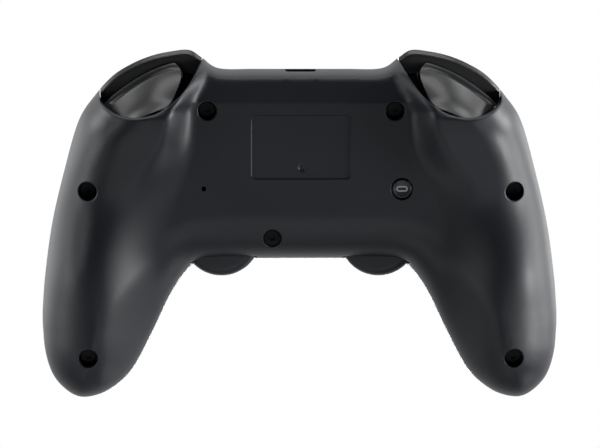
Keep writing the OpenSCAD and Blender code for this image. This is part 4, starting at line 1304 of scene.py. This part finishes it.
@dataclass
class Bumper:
    """Bumper along the case's upper edge, with the boss that it turns on and the tab over its switch."""

    side: Side
    x0: float = 30.56
    x1: float = 62.0
    depth: float = 7.0
    low_z: float = 22.5
    bevel: Tuple[float, float] = (1.4, 1.7)
    pivot: Tuple[float, float] = (58.5, 88.0)
    boss_z: Tuple[float, float] = (24.8, 30.4)
    boss_r: float = 2.2
    bore_r: float = 1.05
    switch: Tuple[float, float] = (38.0, 92.5)
    switch_gap: float = 3.9
    arm_half: float = 1.5
    tab_z: Tuple[float, float] = (1.0, 5.0)

    def rooted(self, name: str, x: float, front: float, low: float, high: float) -> Piece:
        """Block from a line in front to just within the bar's back."""
        back = float(CASE.upper_y(np.array([x]))[0]) - self.depth + 1
        return Bench.block(name, (x - self.arm_half, front, low), (x + self.arm_half, back, high))

    def bar(self) -> Piece:
        """The bar itself: the case's own upper edge, raised from a flat underside."""
        bpy.ops.object.select_all(action="DESELECT")
        bpy.ops.mesh.primitive_grid_add(x_subdivisions=72, y_subdivisions=18, size=2)
        piece = Bench.named("bar")
        Bench.put_to_origin(piece)
        u, v = Bench.coords(piece)[:, :2].T
        x = self.x0 + (self.x1 - self.x0) * (u + 1) / 2
        share = 1 - np.cos(np.radians(90 * (1 - v) / 2))
        p = np.column_stack([x, CASE.upper_y(x) - self.depth * share])
        d = np.where(v > 0.999, 0, CASE.edge_distance(p))
        Bench.move(piece, CASE.world(np.column_stack([p, CASE.face(p, d, 0)])))
        Bench.edit(piece)
        bpy.ops.mesh.extrude_region_move(TRANSFORM_OT_translate={"value": (0, 0, -0.03)})
        bpy.ops.transform.resize(value=(1, 1, 0), center_override=(0, 0, (self.low_z + CASE.lift) * MM))
        Bench.done()
        points = Bench.coords(piece)
        under = points[:, 2] < (self.low_z + CASE.lift + 0.01) * MM
        depth = CASE.upper_y(points[:, 0] / MM) - points[:, 1] / MM - CASE.origin_y
        points[under, 2] += self.bevel[1] * MM * np.maximum(0, 1 - depth[under] / self.bevel[0])
        Bench.move(piece, points)
        Bench.clean(piece)
        Bench.bevel(piece, 0.3, 3, 30)
        return piece

    def build(self) -> Piece:
        """Builds and dresses the bumper."""
        node = f"{self.side.word}_bumper"
        low, high = self.boss_z
        x, y = self.pivot
        boss = Bench.turned("boss", sleeve(self.bore_r, self.boss_r, low, high), self.pivot, 40)
        arm = self.rooted("arm", x, y + self.arm_half, low, high)
        x, y = self.switch
        tab = self.rooted("tab", x, y + self.switch_gap, *(CASE.part_z + up for up in self.tab_z))
        for part in (arm, tab):
            Bench.bevel(part, 0.25, 2)
        piece = Bench.join(f"{node}_bar", [self.bar(), boss, arm, tab])
        if self.side is Side.LEFT:
            Bench.mirror(piece)
        return report(TRIGGER.dress(Bench.smooth(piece, 42)), node, [node])


@dataclass
class Thumbstick:
    """Thumbstick cap: a dome below, a narrow stem and a dished disc with a ridged rim."""

    side: Side
    pivot_z: float = 25.5
    dome_r: float = 9.9
    dome_t: float = 1.1
    dome_low: float = 2.8
    disc_r: float = 8.5
    disc_edge: Tuple[float, float] = (1.2, 1.6)
    top_z: float = 48.0
    bore_r: float = 1.53
    ridges: int = 60
    ridge_t: float = 0.16

    def profile(self) -> List[Tuple[float, float]]:
        """Half section of the cap."""
        z, top = self.pivot_z, self.top_z
        low = math.degrees(math.asin(self.dome_low / self.dome_r))
        run = arc(0, z, self.dome_r, low, 66, 18)
        run += [(3.5, top - 5.6), (3.9, top - 5.0), (6.4, top - 4.3), (7.3, top - 3.9)]
        out, up = self.disc_edge
        run += [(self.disc_r - out + out * math.cos(a), top - up + up * math.sin(a))
                for a in np.radians(np.linspace(-62, 90, 14))]
        run += [(self.disc_r - 1.7, top - 0.05), (self.disc_r - 2.4, top - 0.35),
                (self.disc_r - 3.4, top - 0.95), (self.disc_r - 5, top - 1.3), (0, top - 1.5),
                (0, top - 3.9), (self.bore_r, top - 3.9)]
        inner = self.dome_r - self.dome_t
        run += [(self.bore_r, z + inner - 0.1)] + arc(0, z, inner, 79, low, 14)
        return run + run[:1]

    def build(self) -> Piece:
        """Builds and dresses the cap."""
        node = f"{self.side.word}_thumbstick"
        centre = WELLS.centre(self.side)
        piece = Bench.turned(f"{node}_cap", self.profile(), centre, 4 * self.ridges)
        points = Bench.coords(piece)
        axis = CASE.world([(centre[0], centre[1], self.top_z)])[0]
        away = points[:, :2] - axis[:2]
        r = np.linalg.norm(away, axis=1)
        depth = (axis[2] - points[:, 2]) / MM
        turn = np.arctan2(away[:, 1], away[:, 0])
        rim = (r > (self.disc_r - 0.9) * MM) & (depth > 0.5) & (depth < 3.2)
        cut = self.ridge_t * MM * (0.5 - 0.5 * np.cos(self.ridges * turn)) * rim
        points[:, :2] -= away * (cut / np.maximum(r, 1e-9))[:, None]
        Bench.move(piece, points)
        return report(RUBBER.dress(Bench.smooth(piece, 40)), f"{self.side.word}_stick", [node])


def cross(middle: Tuple[float, float], pitch: float,
          ways: Dict[str, Tuple[int, int]]) -> Dict[str, Tuple[float, float]]:
    """Plan places of pieces that stand in a cross."""
    return {name: (middle[0] + pitch * x, middle[1] + pitch * y) for name, (x, y) in ways.items()}


@dataclass
class ActionButtons:
    """Four round buttons on the right, with a flange held under the face and a plunger."""

    middle: Tuple[float, float] = (48.0, 69.5)
    pitch: float = 11.0
    radius: float = 4.6
    height: float = 2.5
    gap: float = 0.4
    flange_z: float = 32.5
    flange_t: float = 1.2
    rim: float = 0.9
    edge_r: float = 0.9
    plunger_r: float = 2.4
    plunger_t: float = 0.3

    def places(self) -> Dict[str, Tuple[float, float]]:
        """Plan place of each button."""
        ways = {"north": (0, 1), "south": (0, -1), "west": (-1, 0), "east": (1, 0)}
        return cross(self.middle, self.pitch, ways)

    def profile(self) -> List[Tuple[float, float]]:
        """Half section of a button: slightly domed, with a rounded edge."""
        r, low, top = self.radius, self.flange_z - self.flange_t, CASE.face_z + self.height
        foot = low - self.plunger_t
        run = [(0, foot), (self.plunger_r, foot), (self.plunger_r, low), (r + self.rim, low)]
        run += [(r + self.rim, self.flange_z), (r, self.flange_z)]
        run += arc(r - self.edge_r, top - self.edge_r, self.edge_r, 0, 82, 9)
        return run + [(r - 2.0, top + 0.1), (r - 3.2, top + 0.17), (0, top + 0.2)]

    def build(self) -> None:
        """Builds and dresses the four buttons."""
        for name, place in self.places().items():
            piece = Bench.turned(f"{name}_button_cap", self.profile(), place, 56)
            report(BUTTON.dress(Bench.smooth(piece, 40)), f"{name}_button", [f"{name}_button"])


@dataclass
class DirectionKeys:
    """Four direction keys on the left, each a soft square that slopes to the middle of the cross."""

    middle: Tuple[float, float] = (-48.0, 69.5)
    pitch: float = 9.5
    width: float = 8.4
    corner: float = 2.0
    height: float = 2.5
    gap: float = 0.4
    flange_z: float = 32.5
    flange_t: float = 1.2
    plunger_r: float = 2.4
    slope: float = 0.6

    def places(self) -> Dict[str, Tuple[float, float]]:
        """Plan place of each key."""
        return cross(self.middle, self.pitch, self.ways())

    @staticmethod
    def ways() -> Dict[str, Tuple[int, int]]:
        """Direction of each key from the middle."""
        return {"up": (0, 1), "down": (0, -1), "left": (-1, 0), "right": (1, 0)}

    def key(self, name: str, place: Tuple[float, float]) -> Piece:
        """One key with its flange and plunger."""
        top = CASE.face_z + self.height - 0.05
        plan = rounded_box(place, self.width, self.width, self.corner, 0.5)
        body = Bench.prism("body", plan, self.flange_z - 0.01, top)
        Bench.bevel(body, 0.6, 4, 60)
        points = Bench.coords(body)
        local = points / MM - CASE.world([(place[0], place[1], 0)])[0] / MM
        inward = -(local[:, :2] * self.ways()[name]).sum(1)
        high = local[:, 2] > CASE.face_z + 1
        points[:, 2] -= high * self.slope * MM * np.clip((inward + self.width / 2) / self.width, 0, 1)
        Bench.move(body, points)
        way = np.array(self.ways()[name], float)
        across = np.array([-way[1], way[0]])
        centre = np.array(place)
        half = self.width / 2 + 0.8
        taper = [(-half, half - 1.6), (-half, -half + 1.6), (-half + 3.4, -half), (half, -half),
                 (half, half), (-half + 3.4, half)]
        taper = [centre + a * way * (1 if a > 0 else 0.92) + b * across for a, b in taper]
        flange = Bench.prism("flange", np.array(taper), self.flange_z - self.flange_t, self.flange_z)
        low = self.flange_z - self.flange_t - 0.3
        run = [(0, low), (self.plunger_r, low), (self.plunger_r, low + 0.6), (0, low + 0.6)]
        plunger = Bench.turned("plunger", run, place, 32)
        return Bench.join(f"{name}_key_cap", [body, flange, plunger])

    def build(self) -> None:
        """Builds and dresses the four keys."""
        for name, place in self.places().items():
            piece = Bench.smooth(self.key(name, place), 40)
            report(BUTTON.dress(piece), f"{name}_key", [f"{name}_key"])


@dataclass
class SmallButtons:
    """Two option buttons beside the pad, and the home button between the sticks."""

    option: Tuple[float, float] = (3.4, 6.4)
    option_at: Tuple[float, float] = (29.6, 79.0)
    option_rim: float = 0.7
    home_y: float = 62.5
    home_r: float = 4.1
    gap: float = 0.4
    flange_z: float = 32.5
    flange_t: float = 1.2
    stem_z: float = 27.1
    stem_r: float = 1.4

    def stem(self, place: Tuple[float, float]) -> Piece:
        """Stem from a button's flange towards its switch."""
        return Bench.stem(place, self.stem_r, self.stem_z, self.flange_z - 0.2, 24)

    def option_button(self, side: Side) -> Piece:
        """Option button: a narrow pill on a flange."""
        place = (side.value * self.option_at[0], self.option_at[1])
        w, l = self.option
        plan = rounded_box(place, w, l, w / 2 - 0.01, 0.35)
        pill = Bench.prism("pill", plan, self.flange_z - 0.01, CASE.face_z + 0.89)
        Bench.bevel(pill, 0.35, 3, 60)
        w, l = (size + 2 * self.option_rim for size in self.option)
        plan = rounded_box(place, w, l, w / 2 - 0.01, 0.5)
        flange = Bench.prism("flange", plan, self.flange_z - self.flange_t, self.flange_z)
        return Bench.join(f"{side.word}_option_button_cap", [pill, flange, self.stem(place)])

    def home_button(self) -> Piece:
        """Home button: a dished disc with a raised rim."""
        r, face = self.home_r, CASE.face_z
        low = self.flange_z - self.flange_t
        run = [(0, low), (r + 0.9, low), (r + 0.9, self.flange_z), (r, self.flange_z), (r, face + 0.45)]
        run += arc(r - 0.45, face + 0.45, 0.45, 20, 120, 6)
        run += [(r - 1.1, face + 0.66), (r - 1.9, face + 0.56), (0, face + 0.5)]
        disc = Bench.turned("disc", run, (0, self.home_y), 56)
        return Bench.join("home_button_cap", [disc, self.stem((0, self.home_y))])

    def build(self) -> None:
        """Builds and dresses the three buttons."""
        for side in Side:
            node = f"{side.word}_option_button"
            report(BUTTON.dress(Bench.smooth(self.option_button(side), 40)), node, [node])
        report(BUTTON.dress(Bench.smooth(self.home_button(), 40)), "home_button", ["home_button"])


@dataclass
class TouchPad:
    """Touch pad: a flat plate with soft edges, a flange under the face and a stem over its switch."""

    width: float = 48.0
    depth: float = 22.0
    corner: float = 3.0
    y: float = 80.5
    gap: float = 0.4
    rim: float = 1.2
    flange_z: float = 32.5
    stem_z: float = 27.1
    stem_r: float = 2.0
    stem_down: float = 4.0

    def build(self) -> Piece:
        """Builds and dresses the pad."""
        plan = rounded_box((0, self.y), self.width, self.depth, self.corner, 0.8)
        plate = Bench.prism("plate", plan, self.flange_z - 0.01, CASE.face_z + 0.29)
        Bench.bevel(plate, 0.45, 4, 60)
        width, depth = (size + 2 * self.rim for size in (self.width, self.depth))
        plan = rounded_box((0, self.y), width, depth, self.corner, 0.8)
        flange = Bench.prism("flange", plan, self.flange_z - 1, self.flange_z)
        stem = Bench.stem((0, self.y - self.stem_down), self.stem_r, self.stem_z, self.flange_z - 0.2, 32)
        piece = Bench.join("touch_pad_plate", [plate, flange, stem])
        return report(PAD.dress(Bench.smooth(piece, 40)), "touch_pad", ["touch_pad"])


@dataclass
class RearButton:
    """Round button in the rear panel: a dished face with a rim, flange and stem, and a printed mark."""

    at: Tuple[float, float] = (-31.2, 65.8)
    radius: float = 2.9
    low_z: float = 8.9
    flange_z: float = 11.6
    stem_z: float = 19.15
    mark: Tuple[float, float] = (3.5, 1.7)
    line: float = 0.36

    def build(self) -> Piece:
        """Builds and dresses the button and its mark."""
        r, z = self.radius, self.low_z
        run = [(0, z + 0.22), (r - 1.0, z + 0.2)] + arc(r - 0.35, z + 0.35, 0.35, -130, 0, 8)
        run += [(r, self.flange_z), (r + 1.4, self.flange_z), (r + 1.4, self.flange_z + 1),
                (1.6, self.flange_z + 1), (1.6, self.stem_z), (0, self.stem_z)]
        piece = Bench.turned("rear_button_cap", run, self.at, 56)
        report(BUTTON.dress(Bench.smooth(piece, 40)), "rear_button", ["rear_button"])
        return self.print_mark()

    def print_mark(self) -> Piece:
        """Plain oval ring printed on the face."""
        w, h = self.mark
        outer = rounded_box(self.at, w, h, h / 2 - 0.01, 0.16)
        piece = Bench.prism("rear_button_mark", outer, self.low_z + 0.17, self.low_z + 0.3)
        Bench.edit(piece)
        bpy.ops.mesh.select_mode(type="FACE")
        bpy.ops.mesh.select_all(action="DESELECT")
        Bench.done()
        for face in piece.data.polygons:
            face.select = face.normal.z < -0.9
        Bench.pick(piece)
        bpy.ops.object.mode_set(mode="EDIT")
        bpy.ops.mesh.inset(thickness=self.line * MM)
        bpy.ops.mesh.extrude_region_move(TRANSFORM_OT_translate={"value": (0, 0, 0.08 * MM)})
        Bench.done()
        PRINT.dress(Bench.smooth(piece, 40))
        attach(piece, "rear_button")
        LOG.info("%s on rear_button", piece.name)
        return piece


class InnerWorks:
    """Pieces of the frame that show only through gaps, dressed where they stand."""

    finishes: Dict[Finish, Tuple[str, ...]] = {
        BLACK_STEEL: ("housing_screws",),
        STEEL: ("trigger_pins", "trigger_springs", "bumper_pins", "charging_socket", "left_rumble_motor",
                "right_rumble_motor", "left_stick_yoke", "right_stick_yoke"),
        WEIGHT: ("left_rumble_weight", "right_rumble_weight"),
        BOARD: ("main_board",),
        MAT: ("key_mat", "button_mat"),
        WRAP: ("battery",),
        INNER: ("left_trigger_bracket", "right_trigger_bracket", "bumper_switches", "battery_tray",
                "board_switches", "left_stick_module", "right_stick_module", "headset_socket"),
        BUTTON: ("left_stick_shaft", "right_stick_shaft"),
    }

    def build(self) -> None:
        """Dresses every node that no piece replaces."""
        for finish, nodes in self.finishes.items():
            for node in nodes:
                finish.dress_node(node)
                LOG.info("%s dressed in %s", node, finish.slot)


@dataclass
class Studio:
    """White studio: floor, soft lights, surroundings and the camera at the photograph's angle."""

    distance: float = 2.0
    elevation: float = 7.0
    width: float = 0.1854
    turn: float = 1.5
    roll: float = 0.16
    aim: Tuple[float, float, float] = (0.00031, 0.00095, 0.009)
    floor_size: float = 6.0
    pale: float = 0.8
    behind: Tuple[float, float, float] = (0.1, 0.6, 1.0)
    below: Tuple[float, float, float] = (0.0, -0.9, 0.15)
    panel_size: Tuple[float, float] = (0.3, 0.3)
    strip_size: Tuple[float, float] = (0.1, 0.3)
    bar_size: Tuple[float, float] = (0.9, 0.1)
    panels: Tuple[Tuple[float, float, float], ...] = (
        (76, 180, 6.0), (108, 180, 2.0), (22, 240, 0.32), (92, 0, 1.2), (76, 0, 0.9), (22, 300, 0.3),
        (108, 26, 2.6), (60, 26, 0.95), (42, 180, 0.63), (108, 154, 4.8), (124, 0, 0.57), (92, 225, 0.64),
        (42, 252, 0.35), (60, 180, 0.65), (145, 180, 0.7), (145, 0, 0.4), (60, 283, 0.35), (92, 180, 1.2),
        (60, 309, 0.3), (60, 334, 0.25), (170, 270, 6.0))
    strips: Tuple[Tuple[float, float, float, float], ...] = (
        (0.58, 0.64, 0.5, 0.35), (-0.56, 0.7, 0.45, 0.5), (0.0, 0.995, 0.08, 3.0))

    def camera(self) -> None:
        """Places the camera behind the controller, the picture's right towards its left grip."""
        tilt, side, roll = (math.radians(angle) for angle in (self.elevation, self.turn, self.roll))
        aim = Vector(self.aim)
        away = Vector((math.sin(side) * math.cos(tilt), math.sin(tilt), -math.cos(side) * math.cos(tilt)))
        right = away.cross(Vector((0, -1, 0))).normalized()
        turn = Matrix((right, away.cross(right), away)).transposed().to_4x4() @ Matrix.Rotation(roll, 4, "Z")
        turn.translation = aim + self.distance * away
        bpy.ops.object.camera_add()
        camera = bpy.context.object
        camera.matrix_world = turn
        camera.data.sensor_fit = "HORIZONTAL"
        camera.data.angle_x = 2 * math.atan(self.width / 2 / self.distance)
        camera.data.clip_start = 0.01
        bpy.context.scene.camera = camera

    def floor(self) -> None:
        """Adds a pale floor that is seen from its upper side alone and takes no light from the object."""
        half, z = self.floor_size / 2, float(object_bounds()[0].z)
        bpy.ops.object.select_all(action="DESELECT")
        bpy.ops.mesh.primitive_plane_add(size=1)
        sheet = Bench.named("floor")
        Bench.move(sheet, np.array([(-half, -half, z), (half, -half, z), (-half, half, z), (half, half, z)]))
        graph, shader = Graph.surface("floor")
        hollow = graph.node("ShaderNodeBsdfTransparent", {}, {})
        behind = graph.node("ShaderNodeNewGeometry", {}, {}, "Backfacing")
        both = graph.node("ShaderNodeMixShader", {}, {0: behind, 1: shader, 2: hollow})
        graph.node("ShaderNodeOutputMaterial", {"is_active_output": True}, {"Surface": both})
        graph.feed(shader, {"Base Color": (self.pale, self.pale, self.pale, 1), "Roughness": 0.9})
        sheet.data.materials.append(graph.holder)
        for ray in ("diffuse", "glossy", "transmission", "volume_scatter", "shadow"):
            setattr(sheet, f"visible_{ray}", False)
        sheet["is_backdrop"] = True

    def lamp(self, name: str, place: Sequence[float], size: Tuple[float, float], power: float) -> None:
        """Adds a soft panel of light that looks at the controller."""
        bpy.ops.object.light_add(type="AREA", location=tuple(place))
        lamp = bpy.context.object
        lamp.name = name
        lamp.data.shape = "RECTANGLE"
        lamp.data.size, lamp.data.size_y = size
        lamp.data.energy = power
        lamp.rotation_euler = (Vector((0, 0, 0.01)) - Vector(place)).to_track_quat("-Z", "Y").to_euler()

    def surroundings(self) -> None:
        """White backdrop for the camera, and light round the object from the backdrop and the ground."""
        world = bpy.data.worlds.new("studio")
        bpy.context.scene.world = world
        graph = Graph(world)
        where = graph.node("ShaderNodeTexCoord", {}, {}, "Generated")
        z = graph.node("ShaderNodeSeparateXYZ", {}, {0: where}, "Z")
        y = Wire(graph, z.owner, "Y")
        glow = []
        for way, (least, full, most) in ((z, self.behind), (y, self.below)):
            limits = {"From Min": least, "From Max": full, "To Min": 0.0, "To Max": most}
            glow.append(graph.node("ShaderNodeMapRange", {}, {"Value": way, **limits}))
        lit = graph.node("ShaderNodeBackground", {}, {"Strength": glow[0] + glow[1]})
        seen = graph.node("ShaderNodeBackground", {}, {"Color": (1, 1, 1, 1)})
        camera = graph.node("ShaderNodeLightPath", {}, {}, "Is Camera Ray")
        both = graph.node("ShaderNodeMixShader", {}, {0: camera, 1: lit, 2: seen})
        graph.node("ShaderNodeOutputWorld", {}, {"Surface": both})

    def build(self) -> None:
        """Sets up the studio."""
        self.floor()
        self.surroundings()
        for number, (polar, turn, power) in enumerate(self.panels):
            p, t = math.radians(polar), math.radians(turn)
            place = (math.sin(p) * math.cos(t), math.sin(p) * math.sin(t), -math.cos(p))
            self.lamp(f"panel_{number}", place, self.panel_size, power)
        for number, (*place, power) in enumerate(self.strips):
            self.lamp(f"strip_{number}", place, self.strip_size if place[0] else self.bar_size, power)
        self.camera()
        bpy.context.scene.view_settings.view_transform = "Standard"


def main() -> None:
    """Builds the pieces in order, dresses the rest of the frame and sets up the studio."""
    logging.basicConfig(level=logging.INFO, format="%(name)s: %(message)s")
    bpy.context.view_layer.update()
    RearHousing().build()
    FrontHousing().build()
    for side in Side:
        Trigger(side).build()
        Bumper(side).build()
        Thumbstick(side).build()
    ActionButtons().build()
    DirectionKeys().build()
    SmallButtons().build()
    TouchPad().build()
    RearButton().build()
    InnerWorks().build()
    Studio().build()


if __name__ == "__main__":
    main()
